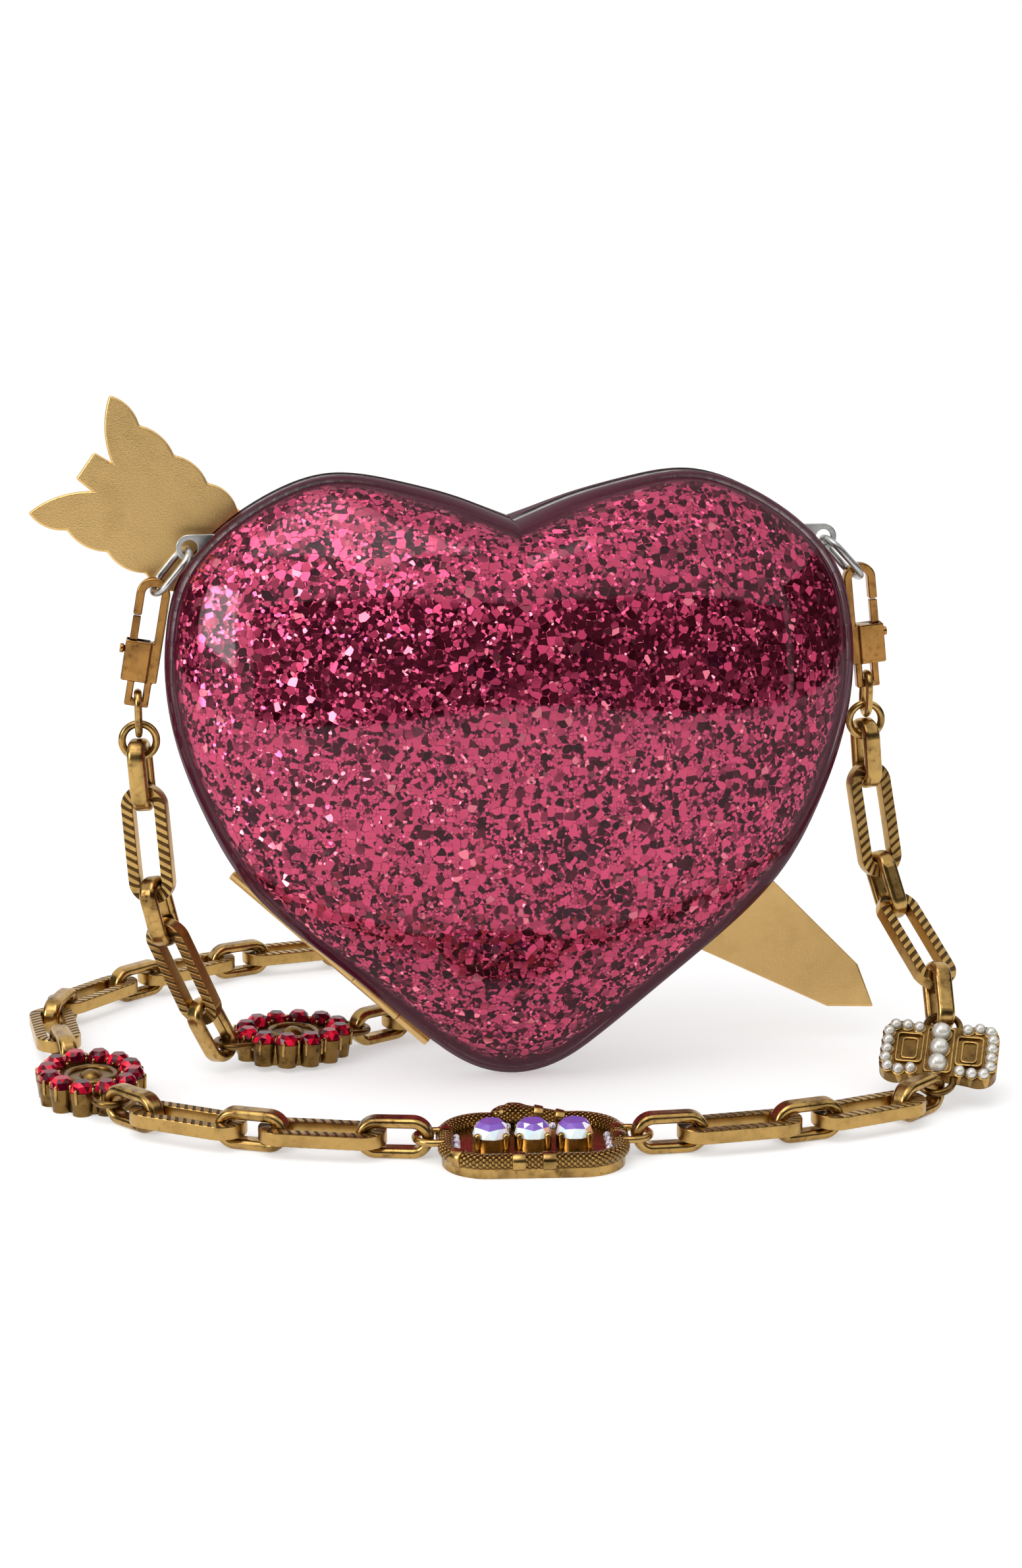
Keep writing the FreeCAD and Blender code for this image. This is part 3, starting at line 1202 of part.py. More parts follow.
doc.recompute()
faulty = [item.Name for item in doc.Objects if "Invalid" in item.State or "Error" in item.State]
for name, piece in nodes.items():
    if piece.Shape.isNull() or not piece.Shape.isValid() or not piece.Shape.Solids:
        faulty.append(name)
if faulty:
    raise RuntimeError("not sound: " + ", ".join(faulty))

os.makedirs("parts", exist_ok=True)
for name, piece in nodes.items():
    piece.Shape.exportStep("parts/%s.step" % name)
print("sub-parts:", len(nodes), "solids:", sum(len(piece.Shape.Solids) for piece in nodes.values()))
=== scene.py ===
"""Looks of the heart purse: finishes, jewellery and studio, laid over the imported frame."""

import logging
import math
import random
from contextlib import contextmanager
from dataclasses import dataclass, field
from enum import Enum
from typing import Callable, Dict, Iterator, List, Sequence, Tuple, Union

import bpy
from mathutils import Matrix, Vector


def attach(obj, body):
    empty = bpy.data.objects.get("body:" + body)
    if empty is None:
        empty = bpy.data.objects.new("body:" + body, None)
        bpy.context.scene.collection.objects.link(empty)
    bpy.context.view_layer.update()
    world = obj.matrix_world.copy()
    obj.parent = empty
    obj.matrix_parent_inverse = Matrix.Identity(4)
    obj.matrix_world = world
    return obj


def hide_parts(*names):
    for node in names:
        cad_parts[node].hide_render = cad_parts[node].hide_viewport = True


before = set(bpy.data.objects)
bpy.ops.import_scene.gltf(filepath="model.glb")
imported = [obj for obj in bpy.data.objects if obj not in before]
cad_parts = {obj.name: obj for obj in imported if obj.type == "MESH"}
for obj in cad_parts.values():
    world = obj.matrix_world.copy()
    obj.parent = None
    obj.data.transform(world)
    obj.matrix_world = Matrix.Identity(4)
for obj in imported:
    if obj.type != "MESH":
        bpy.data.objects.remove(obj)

LOG = logging.getLogger("heart_purse")
MM = 0.001
MICRON = 1e-6
CENTRE = (0.0, 0.0, 0.0)
UP = (0.0, 0.0, 1.0)
Colour = Tuple[float, float, float]
Triple = Tuple[float, float, float]
Piece = bpy.types.Object
Finish = bpy.types.Material


class Body(Enum):
    """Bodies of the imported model."""

    CASE = "case_and_chain"
    LID = "lid"
    LEFT_GATE = "left_gate"
    RIGHT_GATE = "right_gate"


class Slot(Enum):
    """Material slots of the record."""

    CLEAR_SHELL = "clear_shell"
    GLITTER = "glitter"
    LINING = "lining"
    SILVER_FRAME = "silver_frame"
    OLD_SILVER = "old_silver"
    MAGNET = "magnet"
    GOLD_SCREW = "gold_screw"
    ARROW_GOLD = "arrow_gold"
    HOOK_GOLD = "hook_gold"
    CHAIN_GOLD = "chain_gold"
    RED_STONE = "red_stone"
    CRYSTAL = "crystal"
    CLEAR_STONE = "clear_stone"
    PEARL = "pearl"
    SPRING_STEEL = "spring_steel"


# Shader graphs


def joining(operation: str) -> Callable[["Socket", Union["Socket", float]], "Socket"]:
    """An operator of sockets that makes one Math node."""
    return lambda first, second: first.math(operation, second)


class Socket:
    """A shader output that takes part in arithmetic."""

    def __init__(self, graph: "Graph", out: bpy.types.NodeSocket) -> None:
        """Keep the graph and the output."""
        self.graph = graph
        self.out = out

    def math(self, operation: str, *others: Union["Socket", float]) -> "Socket":
        """Join this socket and others in one Math node.

        Args:
            operation: Name of the operation.
            others: The other operands in order.

        Returns:
            The result.
        """
        operands = dict(enumerate((self,) + others))
        return self.graph.node("Math", {"operation": operation}, operands)

    __add__ = joining("ADD")
    __sub__ = joining("SUBTRACT")
    __mul__ = joining("MULTIPLY")
    __truediv__ = joining("DIVIDE")
    __pow__ = joining("POWER")

    def __rsub__(self, other: float) -> "Socket":
        """Difference with a number first."""
        return self.graph.node("Math", {"operation": "SUBTRACT"}, {0: other, 1: self})

    def __abs__(self) -> "Socket":
        """Absolute value."""
        return self.math("ABSOLUTE")

    def above(self, limit: Union["Socket", float]) -> "Socket":
        """One where this is greater than the limit, else zero."""
        return self.math("GREATER_THAN", limit)

    def ramp(self, low: float, high: float) -> "Socket":
        """Smooth step from zero at low to one at high."""
        return self.graph.node("MapRange", {"interpolation_type": "SMOOTHSTEP"},
                               {"Value": self, "From Min": low, "From Max": high})


class Graph:
    """Node tree of one material."""

    def __init__(self, name: str) -> None:
        """Start an empty material."""
        self.material = bpy.data.materials.new(name)
        self.material.use_nodes = True
        self.tree = self.material.node_tree
        self.tree.nodes.clear()

    def node(self, kind: str, settings: Dict[str, object], inputs: Dict[Union[str, int], object],
             output: Union[str, int] = 0) -> Socket:
        """Add one node.

        Args:
            kind: Type name of the node, after ShaderNode.
            settings: Properties to set.
            inputs: Sockets or constants by input name or number.
            output: Output to hand back.

        Returns:
            The chosen output.
        """
        made = self.tree.nodes.new("ShaderNode" + kind)
        for name, value in settings.items():
            setattr(made, name, value)
        for key, value in inputs.items():
            if isinstance(value, Socket):
                self.tree.links.new(value.out, made.inputs[key])
            else:
                made.inputs[key].default_value = value
        return Socket(self, made.outputs[output])

    def place(self) -> Socket:
        """Object coordinates, in metres."""
        return self.node("TexCoord", {}, {}, "Object")

    def split(self, vector: Socket) -> Tuple[Socket, Socket, Socket]:
        """The three parts of a vector."""
        made = self.node("SeparateXYZ", {}, {0: vector})
        return tuple(Socket(self, made.out.node.outputs[axis]) for axis in range(3))

    def attribute(self, name: str, output: str) -> Socket:
        """An attribute of the piece."""
        return self.node("Attribute", {"attribute_name": name}, {}, output)

    def blend(self, factor: Union[Socket, float], first: Union[Socket, Colour],
              second: Union[Socket, Colour]) -> Socket:
        """Colour between two colours."""
        ends = [value if isinstance(value, Socket) else (*value, 1.0) for value in (first, second)]
        return self.node("Mix", {"data_type": "RGBA"}, {0: factor, 6: ends[0], 7: ends[1]}, 2)

    def noise(self, scale: float, detail: float = 3.0) -> Socket:
        """Noise over the piece, with its scale in waves per metre."""
        return self.node("TexNoise", {},
                         {"Vector": self.place(), "Scale": scale, "Detail": detail}, 0)

    def bump(self, height: Socket, depth: float) -> Socket:
        """Surface normal raised by a height of zero to one."""
        return self.node("Bump", {}, {"Height": height, "Distance": depth, "Strength": 1.0})

    def facing(self) -> Socket:
        """Zero where the surface faces the eye, one where it turns away."""
        return self.node("LayerWeight", {}, {"Blend": 0.5}, "Facing")

    def finish(self, surface: Socket) -> Finish:
        """Close the material with its surface."""
        output = self.tree.nodes.new("ShaderNodeOutputMaterial")
        self.tree.links.new(surface.out, output.inputs["Surface"])
        return self.material

    def surface(self, **inputs: object) -> Finish:
        """Close the material with a Principled surface; underscores in names stand for spaces."""
        named = {name.replace("_", " "): (*value, 1.0) if isinstance(value, tuple) else value
                 for name, value in inputs.items()}
        return self.finish(self.node("BsdfPrincipled", {}, named))


# Finishes


@dataclass(frozen=True)
class Glitter:
    """Foil flakes of two sizes set in dark resin; painted shade darkens the gaps and patches of flakes, and a
    few flakes carry painted glints.
    """

    name: str = "glitter"
    flake: Colour = (0.52, 0.065, 0.147)
    # Pale colour of the painted glints on a few flakes
    glint: Colour = (0.95, 0.30, 0.38)
    # Dark colour of the resin, used also as painted shade in the gaps and dark patches
    resin_and_shade: Colour = (0.030, 0.002, 0.010)
    large: float = 2.0 * MM
    small: float = 0.95 * MM
    tilt: float = 0.75
    large_limit: float = 0.52
    large_gap: float = 0.035
    small_gap: float = 0.038
    cloud_waves: float = 70.0
    cloud_share: float = 1.7
    flake_share: float = 0.8
    shade_limit: float = 0.77
    glint_limit: float = 0.93
    glint_share: float = 0.75
    tone_low: float = 0.82
    tone_span: float = 0.34

    def cells(self, graph: Graph, size: float) -> Tuple[Socket, Socket, Socket, Socket]:
        """Flakes of one size.

        Args:
            graph: Graph of the material.
            size: Width of a flake.

        Returns:
            Three random numbers per flake, and the distance to its edge.
        """
        inputs = {"Vector": graph.place(), "Scale": 1.0 / size, "Randomness": 0.85}
        colour = graph.node("TexVoronoi", {"feature": "F1"}, inputs, "Color")
        edge = graph.node("TexVoronoi", {"feature": "DISTANCE_TO_EDGE"}, inputs, "Distance")
        return (*graph.split(colour), edge)

    def material(self) -> Finish:
        """Build the material."""
        graph = Graph(self.name)
        big = self.cells(graph, self.large)
        fine = self.cells(graph, self.small)
        cloud = graph.noise(self.cloud_waves)
        shown = big[0].above(self.large_limit) * big[3].above(self.large_gap)
        pick = [shown * (one - two) + two for one, two in zip(big[:3], fine[:3])]
        # Gaps between flakes take the resin colour: painted shade between the flakes
        body = shown.math("MAXIMUM", fine[3].above(self.small_gap))
        # Where the cloud runs low, whole flakes take the resin colour: patches of painted shade
        out_of_shade = (pick[1] * self.flake_share + cloud * self.cloud_share).above(self.shade_limit)
        lit = body * out_of_shade
        # A few random flakes turn pale: painted glints
        glint = pick[2].above(self.glint_limit) * self.glint_share
        tone = pick[2] * self.tone_span + self.tone_low
        foil = graph.blend(glint, self.flake, self.glint)
        foil = graph.node("HueSaturation", {}, {"Value": tone, "Color": foil})
        # Foil where it shows; elsewhere the resin colour, which here is painted shade
        colour = graph.blend(lit, self.resin_and_shade, foil)
        leans = [(part * 2.0 - 1.0) * abs(part * 2.0 - 1.0) ** 2.0 for part in pick]
        lean = graph.node("CombineXYZ", {}, dict(enumerate(leans)))
        lean = graph.node("VectorMath", {"operation": "SCALE"}, {0: lean, "Scale": self.tilt})
        flat = graph.node("NewGeometry", {}, {}, "Normal")
        normal = graph.node("VectorMath", {"operation": "ADD"}, {0: flat, 1: lean})
        normal = graph.node("VectorMath", {"operation": "NORMALIZE"}, {0: normal})
        return graph.surface(Base_Color=colour, Metallic=lit * 0.95, Roughness=0.2, Normal=normal,
                             Specular_IOR_Level=0.06)


@dataclass(frozen=True)
class ClearShell:
    """Clear cast wall: see-through face on, glossy at its edges and darkened there by painted shade."""

    name: str = "clear_shell"
    # Colour of the painted shade on the wall's edges
    edge: Colour = (0.050, 0.005, 0.015)
    face_gloss: float = 0.010
    edge_gloss: float = 0.16
    edge_share: float = 0.97
    edge_from: float = 0.45
    edge_to: float = 0.68
    edge_power: float = 5.0
    tint: Colour = (1.0, 0.96, 0.97)

    def material(self) -> Finish:
        """Build the material."""
        graph = Graph(self.name)
        facing = graph.facing()
        clear = graph.node("BsdfTransparent", {}, {"Color": (*self.tint, 1.0)})
        gloss = graph.node("BsdfGlossy", {}, {"Color": (1.0, 1.0, 1.0, 1.0), "Roughness": 0.03})
        # Painted shade: a dark diffuse colour where the wall turns away from the eye
        rim = graph.node("BsdfDiffuse", {}, {"Color": (*self.edge, 1.0)})
        dark = facing.ramp(self.edge_from, self.edge_to) * self.edge_share
        wall = graph.node("MixShader", {}, {0: dark, 1: clear, 2: rim})
        shine = facing ** self.edge_power * self.edge_gloss + self.face_gloss
        return graph.finish(graph.node("MixShader", {}, {0: shine, 1: wall, 2: gloss}))


@dataclass(frozen=True)
class Metal:
    """Plain or tarnished metal."""

    name: str
    bright: Colour
    dark: Colour
    roughness: float
    tarnish: float
    grain: float = 700.0
    speckle: float = 0.0

    def tones(self, graph: Graph) -> Socket:
        """Colour between bright and tarnished metal."""
        cloud = graph.noise(160.0, 4.0).ramp(0.42, 0.74)
        fine = graph.noise(self.grain, 3.0).ramp(0.5, 0.8)
        age = (cloud * 0.65 + fine * 0.5) * self.tarnish
        return graph.blend(age.math("MINIMUM", 1.0), self.bright, self.dark)

    def material(self) -> Finish:
        """Build the material."""
        graph = Graph(self.name)
        colour = self.tones(graph)
        rough = graph.noise(260.0, 4.0) * 0.18 + (self.roughness - 0.09)
        inputs = {"Base_Color": colour, "Metallic": 1.0, "Roughness": rough}
        if self.speckle:
            inputs["Normal"] = graph.bump(graph.noise(2600.0, 2.0), self.speckle)
        return graph.surface(**inputs)


@dataclass(frozen=True)
class RibbedMetal(Metal):
    """Metal with slanting ribs on the two flat faces of a link."""

    pitch: float = 2.3 * MM
    reach: float = 9.9 * MM
    mean_radius: float = 4.5 * MM
    face: float = 1.62 * MM
    slant: float = 0.55
    depth: float = 0.45 * MM

    def material(self) -> Finish:
        """Build the material."""
        graph = Graph(self.name)
        x, y, z = graph.split(graph.attribute("place", "Vector"))
        beyond = (abs(x) - self.reach).math("MAXIMUM", 0.0)
        bend = beyond.math("ARCTAN2", abs(y)) * self.mean_radius * x.math("SIGN")
        run = x.math("MINIMUM", self.reach).math("MAXIMUM", -self.reach) + bend + y * self.slant
        wave = (run * (2.0 * math.pi / self.pitch)).math("SINE") * 0.5 + 0.5
        flat = abs(z).above(self.face)
        # Grooves on the flat faces take the dark colour: painted shade in the grooves, with the dark patina
        # there
        groove = (1.0 - wave.ramp(0.2, 0.55)) * flat
        colour = graph.blend(groove * 0.94, self.tones(graph), self.dark)
        height = wave.ramp(0.05, 0.6) * flat + (1.0 - flat)
        rough = groove * 0.25 + self.roughness
        return graph.surface(Base_Color=colour, Metallic=1.0, Roughness=rough,
                             Normal=graph.bump(height, self.depth))


@dataclass(frozen=True)
class ScaledMetal(Metal):
    """Metal worked into overlapping snake scales along a tube's own map."""

    size: float = 1.45 * MM
    depth: float = 0.5 * MM

    def material(self) -> Finish:
        """Build the material."""
        graph = Graph(self.name)
        along, around, _ = graph.split(graph.node("UVMap", {"uv_map": "skin"}, {}))
        lanes = [(along + around * sign) / self.size for sign in (1.0, -1.0)]
        humps = [1.0 - abs(lane.math("FRACT") - 0.5) * 2.0 for lane in lanes]
        dome = (humps[0] * humps[1]).math("SQRT")
        # Scale edges take the dark colour: painted shade between the scales, with the dark patina there
        edge = 1.0 - dome.ramp(0.12, 0.5)
        colour = graph.blend(edge * 0.95, self.tones(graph), self.dark)
        return graph.surface(Base_Color=colour, Metallic=1.0, Roughness=self.roughness,
                             Normal=graph.bump(dome.ramp(0.0, 0.85), self.depth))


@dataclass(frozen=True)
class CutStone:
    """Faceted stone whose facets each carry their own tone: the stone's own colour, spread from painted shade
    to painted reflections from facet to facet.
    """

    name: str
    tones: Tuple[Tuple[float, Colour], ...]
    roughness: float = 0.06
    ior: float = 1.36
    soft: float = 0.06

    def material(self) -> Finish:
        """Build the material."""
        graph = Graph(self.name)
        facet = graph.attribute("facet", "Fac")
        colour = self.tones[0][1]
        for limit, tone in self.tones[1:]:
            colour = graph.blend(facet.ramp(limit - self.soft, limit + self.soft), colour, tone)
        return graph.surface(Base_Color=colour, Roughness=self.roughness, IOR=self.ior)


@dataclass(frozen=True)
class Pearl:
    """Cream pearl with a soft lustre."""

    name: str = "pearl"
    colour: Colour = (0.60, 0.575, 0.52)
    shade: Colour = (0.20, 0.18, 0.15)

    def material(self) -> Finish:
        """Build the material."""
        graph = Graph(self.name)
        colour = graph.blend(graph.facing().ramp(0.15, 0.9), self.colour, self.shade)
        return graph.surface(Base_Color=colour, Roughness=0.22, Metallic=0.35, Coat_Weight=1.0,
                             Coat_Roughness=0.05)


@dataclass(frozen=True)
class Cloth:
    """Dark lining with a fine nap."""

    name: str = "lining"
    colour: Colour = (0.055, 0.006, 0.016)
    worn: Colour = (0.10, 0.016, 0.032)
    nap_depth: float = 0.15 * MM

    def material(self) -> Finish:
        """Build the material."""
        graph = Graph(self.name)
        nap = graph.noise(1500.0, 4.0)
        colour = graph.blend(nap, self.colour, self.worn)
        return graph.surface(Base_Color=colour, Roughness=0.9, Normal=graph.bump(nap, self.nap_depth))


BRASS: Colour = (0.50, 0.31, 0.10)
BRASS_DARK: Colour = (0.075, 0.037, 0.012)


class Palette:
    """Every finish of the purse, made once."""

    def __init__(self) -> None:
        """Build the materials."""
        finishes = {
            Slot.GLITTER: Glitter(),
            Slot.CLEAR_SHELL: ClearShell(),
            Slot.LINING: Cloth(),
            Slot.SILVER_FRAME: Metal("silver_frame", (0.60, 0.59, 0.57), (0.20, 0.19, 0.18), 0.26, 0.35),
            Slot.OLD_SILVER: Metal("old_silver", (0.52, 0.515, 0.50), (0.12, 0.12, 0.125), 0.30, 0.75),
            Slot.MAGNET: Metal("magnet", (0.45, 0.45, 0.46), (0.2, 0.2, 0.21), 0.3, 0.3),
            Slot.GOLD_SCREW: Metal("gold_screw", (0.56, 0.36, 0.12), (0.2, 0.11, 0.04), 0.3, 0.4),
            Slot.ARROW_GOLD: Metal("arrow_gold", (0.74, 0.49, 0.195), (0.55, 0.35, 0.125), 0.42, 0.5,
                                   grain=1500.0, speckle=0.05 * MM),
            Slot.HOOK_GOLD: Metal("hook_gold", (0.42, 0.21, 0.06), (0.09, 0.032, 0.010), 0.24, 0.95),
            Slot.CHAIN_GOLD: Metal("chain_gold", BRASS, (0.085, 0.042, 0.013), 0.25, 1.1),
            # Stone tones per facet: each stone's own colour, spread from painted shade to painted reflections
            Slot.RED_STONE: CutStone("red_stone", ((0.0, (0.045, 0.0, 0.005)), (0.3, (0.14, 0.001, 0.010)),
                                                   (0.62, (0.36, 0.004, 0.022)), (0.84, (0.80, 0.012, 0.045)))),
            Slot.CRYSTAL: CutStone("crystal", ((0.0, (0.82, 0.93, 0.96)), (0.30, (0.55, 0.74, 0.86)),
                                               (0.52, (0.19, 0.09, 0.42)), (0.70, (0.86, 0.86, 0.93)),
                                               (0.84, (0.85, 0.42, 0.22)), (0.93, (0.62, 0.40, 0.80)))),
            Slot.CLEAR_STONE: CutStone("clear_stone", ((0.0, (0.30, 0.28, 0.34)), (0.35, (0.86, 0.86, 0.90)),
                                                       (0.75, (0.62, 0.52, 0.74)))),
            Slot.PEARL: Pearl(),
            Slot.SPRING_STEEL: Metal("spring_steel", (0.5, 0.5, 0.5), (0.2, 0.2, 0.2), 0.3, 0.3),
        }
        self.by_slot = {slot: finish.material() for slot, finish in finishes.items()}
        self.gold = self.by_slot[Slot.CHAIN_GOLD]
        # A darker copy of the gold for the settings: painted shade between their cups and stones, with tarnish
        self.shaded_gold = Metal("shaded_setting_gold", (0.22, 0.125, 0.036), (0.03, 0.015, 0.006), 0.30, 1.1).material()
        self.ribbed = RibbedMetal("ribbed_gold", BRASS, BRASS_DARK, 0.28, 0.5).material()
        self.scaled = ScaledMetal("scaled_gold", (0.42, 0.245, 0.07), (0.045, 0.02, 0.007), 0.27,
                                  0.35).material()


# Workbench


class Bench:
    """Shared moves of modelling by hand."""

    @staticmethod
    def start(add: Callable[..., object], name: str, **sizes: object) -> Piece:
        """Add a primitive with nothing else selected.

        Args:
            add: The operator.
            name: Name of the new object.
            sizes: Settings of the operator.

        Returns:
            The new object.
        """
        bpy.ops.object.select_all(action="DESELECT")
        add(**sizes)
        made = bpy.context.active_object
        made.name = name
        return made

    @staticmethod
    def only(*pieces: Piece) -> None:
        """Select these objects alone, the first of them active."""
        bpy.ops.object.select_all(action="DESELECT")
        for piece in pieces:
            piece.select_set(True)
        bpy.context.view_layer.objects.active = pieces[0]

    @staticmethod
    @contextmanager
    def editing(piece: Piece) -> Iterator[None]:
        """Edit mode on one object, all of it selected."""
        Bench.only(piece)
        bpy.ops.object.mode_set(mode="EDIT")
        bpy.ops.mesh.select_mode(type="VERT")
        Bench.everything()
        yield
        bpy.ops.object.mode_set(mode="OBJECT")

    @staticmethod
    def pick(piece: Piece, test: Callable[[Vector], bool]) -> None:
        """Select the points that pass a test, in edit mode."""
        bpy.ops.object.mode_set(mode="OBJECT")
        for group in (piece.data.polygons, piece.data.edges):
            for item in group:
                item.select = False
        for point in piece.data.vertices:
            point.select = bool(test(point.co))
        bpy.ops.object.mode_set(mode="EDIT")

    @staticmethod
    def modify(piece: Piece, kind: str, **settings: object) -> None:
        """Add one modifier and apply it."""
        Bench.only(piece)
        made = piece.modifiers.new(kind.lower(), kind)
        for name, value in settings.items():
            setattr(made, name, value)
        bpy.ops.object.modifier_apply(modifier=made.name)

    @staticmethod
    def bevel(piece: Piece, width: float, degrees: float, **settings: object) -> None:
        """Round the edges that are sharper than an angle."""
        Bench.modify(piece, "BEVEL", width=width, limit_method="ANGLE", angle_limit=math.radians(degrees),
                     **{"segments": 2, **settings})

    @staticmethod
    def smooth(piece: Piece, degrees: float) -> None:
        """Shade smooth across edges up to an angle."""
        Bench.only(piece)
        bpy.ops.object.shade_smooth_by_angle(angle=math.radians(degrees))

    @staticmethod
    def copies(template: Piece, name: str, places: Sequence[Matrix]) -> Piece:
        """One object of several copies of a template, each with its own mesh.

        Args:
            template: Shape to repeat.
            name: Name of the joined object.
            places: Where each copy goes.

        Returns:
            The joined object.
        """
        made = []
        for number, place in enumerate(places):
            mesh = template.data.copy()
            mesh.transform(place)
            copy = bpy.data.objects.new("%s_%02d" % (name, number), mesh)
            bpy.context.scene.collection.objects.link(copy)
            made.append(copy)
        return Bench.join(made, name)

    @staticmethod
    def join(pieces: Sequence[Piece], name: str) -> Piece:
        """Make one object of several."""
        Bench.only(*pieces)
        if len(pieces) > 1:
            bpy.ops.object.join()
        pieces[0].name = name
        return pieces[0]

    @staticmethod
    def everything() -> None:
        """Select all of the piece in edit mode."""
        bpy.ops.mesh.select_all(action="SELECT")

    @staticmethod
    def shift(x: float, y: float, z: float) -> None:
        """Move what is selected in edit mode."""
        bpy.ops.transform.translate(value=(x, y, z))

    @staticmethod
    def scale(x: float, y: float, z: float, centre: Triple = CENTRE) -> None:
        """Scale what is selected in edit mode about a centre."""
        bpy.ops.transform.resize(value=(x, y, z), center_override=centre)

    @staticmethod
    def turn(axis: str, angle: float = math.pi / 2) -> None:
        """Turn what is selected in edit mode about the origin."""
        bpy.ops.transform.rotate(value=angle, orient_axis=axis, center_override=CENTRE)

    @staticmethod
    def discard(*pieces: Piece) -> None:
        """Remove templates."""
        for piece in pieces:
            bpy.data.objects.remove(piece, do_unlink=True)

    @staticmethod
    def facets(piece: Piece, seed: int) -> None:
        """Give every face of a stone its own random tone, which paints reflections and shade on its facets."""
        chance = random.Random(seed)
        tones = piece.data.attributes.new("facet", "FLOAT", "FACE")
        for face in piece.data.polygons:
            tones.data[face.index].value = chance.random()

    @staticmethod
    def sheen(piece: Piece, seed: int) -> None:
        """Tone the facets of coated stones by the way they face: a painted sheen of the coating's colours."""
        chance = random.Random(seed)
        tones = piece.data.attributes["facet"]
        for face in piece.data.polygons:
            pale = chance.uniform(0.0, 0.34)
            # Top and side facets get fixed colours by direction: painted sheen
            tone = 0.58 if face.normal.z > 0.62 else 0.88 if face.normal.x > 0.62 else pale
            tones.data[face.index].value = tone if chance.random() < 0.85 else 0.74

    @staticmethod
    def hand_in(piece: Piece, body: Body, slot: Slot, material: Finish,
                nodes: Sequence[str] = ()) -> Piece:
        """Dress a finished piece and tie it to the frame.

        Args:
            piece: The finished piece.
            body: Body that carries it.
            slot: Slot of the record; not used.
            material: Its finish.
            nodes: CAD nodes that it stands for.

        Returns:
            The piece.
        """
        piece.data.materials.clear()
        piece.data.materials.append(material)
        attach(piece, body.value)
        if nodes:
            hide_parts(*nodes)
        LOG.info("%s on %s, %d faces", piece.name, body.value, len(piece.data.polygons))
        return piece


@dataclass(frozen=True)
class Place:
    """Local frame of a piece: origin, direction along it and direction up from it."""

    origin: Triple
    along: Triple
    up: Triple

    def matrix(self) -> Matrix:
        """Frame as a matrix."""
        x_axis = Vector(self.along).normalized()
        z_axis = Vector(self.up)
        z_axis = (z_axis - x_axis * x_axis.dot(z_axis)).normalized()
        turn = Matrix((x_axis, z_axis.cross(x_axis), z_axis)).transposed()
        return Matrix.Translation(self.origin) @ turn.to_4x4()


Corners = List[Tuple[Vector, Vector]]


def islands(node: str, place: Matrix) -> Corners:
    """Separate solids of a CAD node.

    Args:
        node: Name of the node.
        place: Local frame to measure in.

    Returns:
        Lowest and highest corner of every solid, in the local frame.
    """
    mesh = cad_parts[node].data
    back = place.inverted()
    keys: Dict[Tuple[int, int, int], int] = {}
    number = [keys.setdefault(tuple(round(part / MICRON) for part in point.co), len(keys))
              for point in mesh.vertices]
    owner = list(range(len(keys)))

    def root(item: int) -> int:
        """First member of a group."""
        while owner[item] != item:
            owner[item] = owner[owner[item]]
            item = owner[item]
        return item

    for face in mesh.polygons:
        first = root(number[face.vertices[0]])
        for corner in face.vertices[1:]:
            owner[root(number[corner])] = first
    corners: Dict[int, Tuple[Vector, Vector]] = {}
    for point, key in zip(mesh.vertices, number):
        spot = back @ point.co
        low, high = corners.setdefault(root(key), (spot.copy(), spot.copy()))
        for axis in range(3):
            low[axis] = min(low[axis], spot[axis])
            high[axis] = max(high[axis], spot[axis])
    return [corners[key] for key in sorted(corners)]


# Sub-assemblies


@dataclass
class CadDress:
    """Finishes on the CAD nodes whose shape is kept."""

    palette: Palette
    slots: Dict[Slot, Tuple[str, ...]] = field(default_factory=lambda: {
        Slot.CLEAR_SHELL: ("rear_shell", "front_shell"),
        Slot.GLITTER: ("rear_glitter", "front_glitter"),
        Slot.LINING: ("rear_lining", "front_lining"),
        Slot.SILVER_FRAME: ("rear_frame", "front_frame"),
        Slot.MAGNET: ("rear_magnet", "front_magnet"),
        Slot.ARROW_GOLD: ("rear_hinge_leaf", "front_hinge_leaf", "hinge_pin"),
        Slot.GOLD_SCREW: ("arrow_screws",),
        Slot.OLD_SILVER: ("left_ring", "right_ring"),
        Slot.SPRING_STEEL: ("left_hook_spring", "right_hook_spring"),
        Slot.CHAIN_GOLD: (
            "left_oval_ring", "right_oval_ring", "left_round_ring", "right_round_ring", "left_drop_connectors",
            "rear_connectors", "front_connectors", "right_drop_connectors", "rear_medallion_setting",
            "front_medallion_setting", "snake_frame", "pearl_setting"),
        Slot.PEARL: ("small_pearls", "large_pearls")})
    # Nodes that take the darker gold: painted shade between their cups and stones
    in_shade: Tuple[str, ...] = ("rear_medallion_setting", "front_medallion_setting", "pearl_setting")

    def build(self) -> None:
        """Dress the nodes."""
        for slot, name in ((slot, name) for slot, names in self.slots.items() for name in names):
            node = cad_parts[name]
            material = self.palette.shaded_gold if name in self.in_shade else self.palette.by_slot[slot]
            if node.material_slots:
                for held in node.material_slots:
                    held.material = material
            else:
                node.data.materials.append(material)
            LOG.info("%s dressed as %s", name, slot.value)


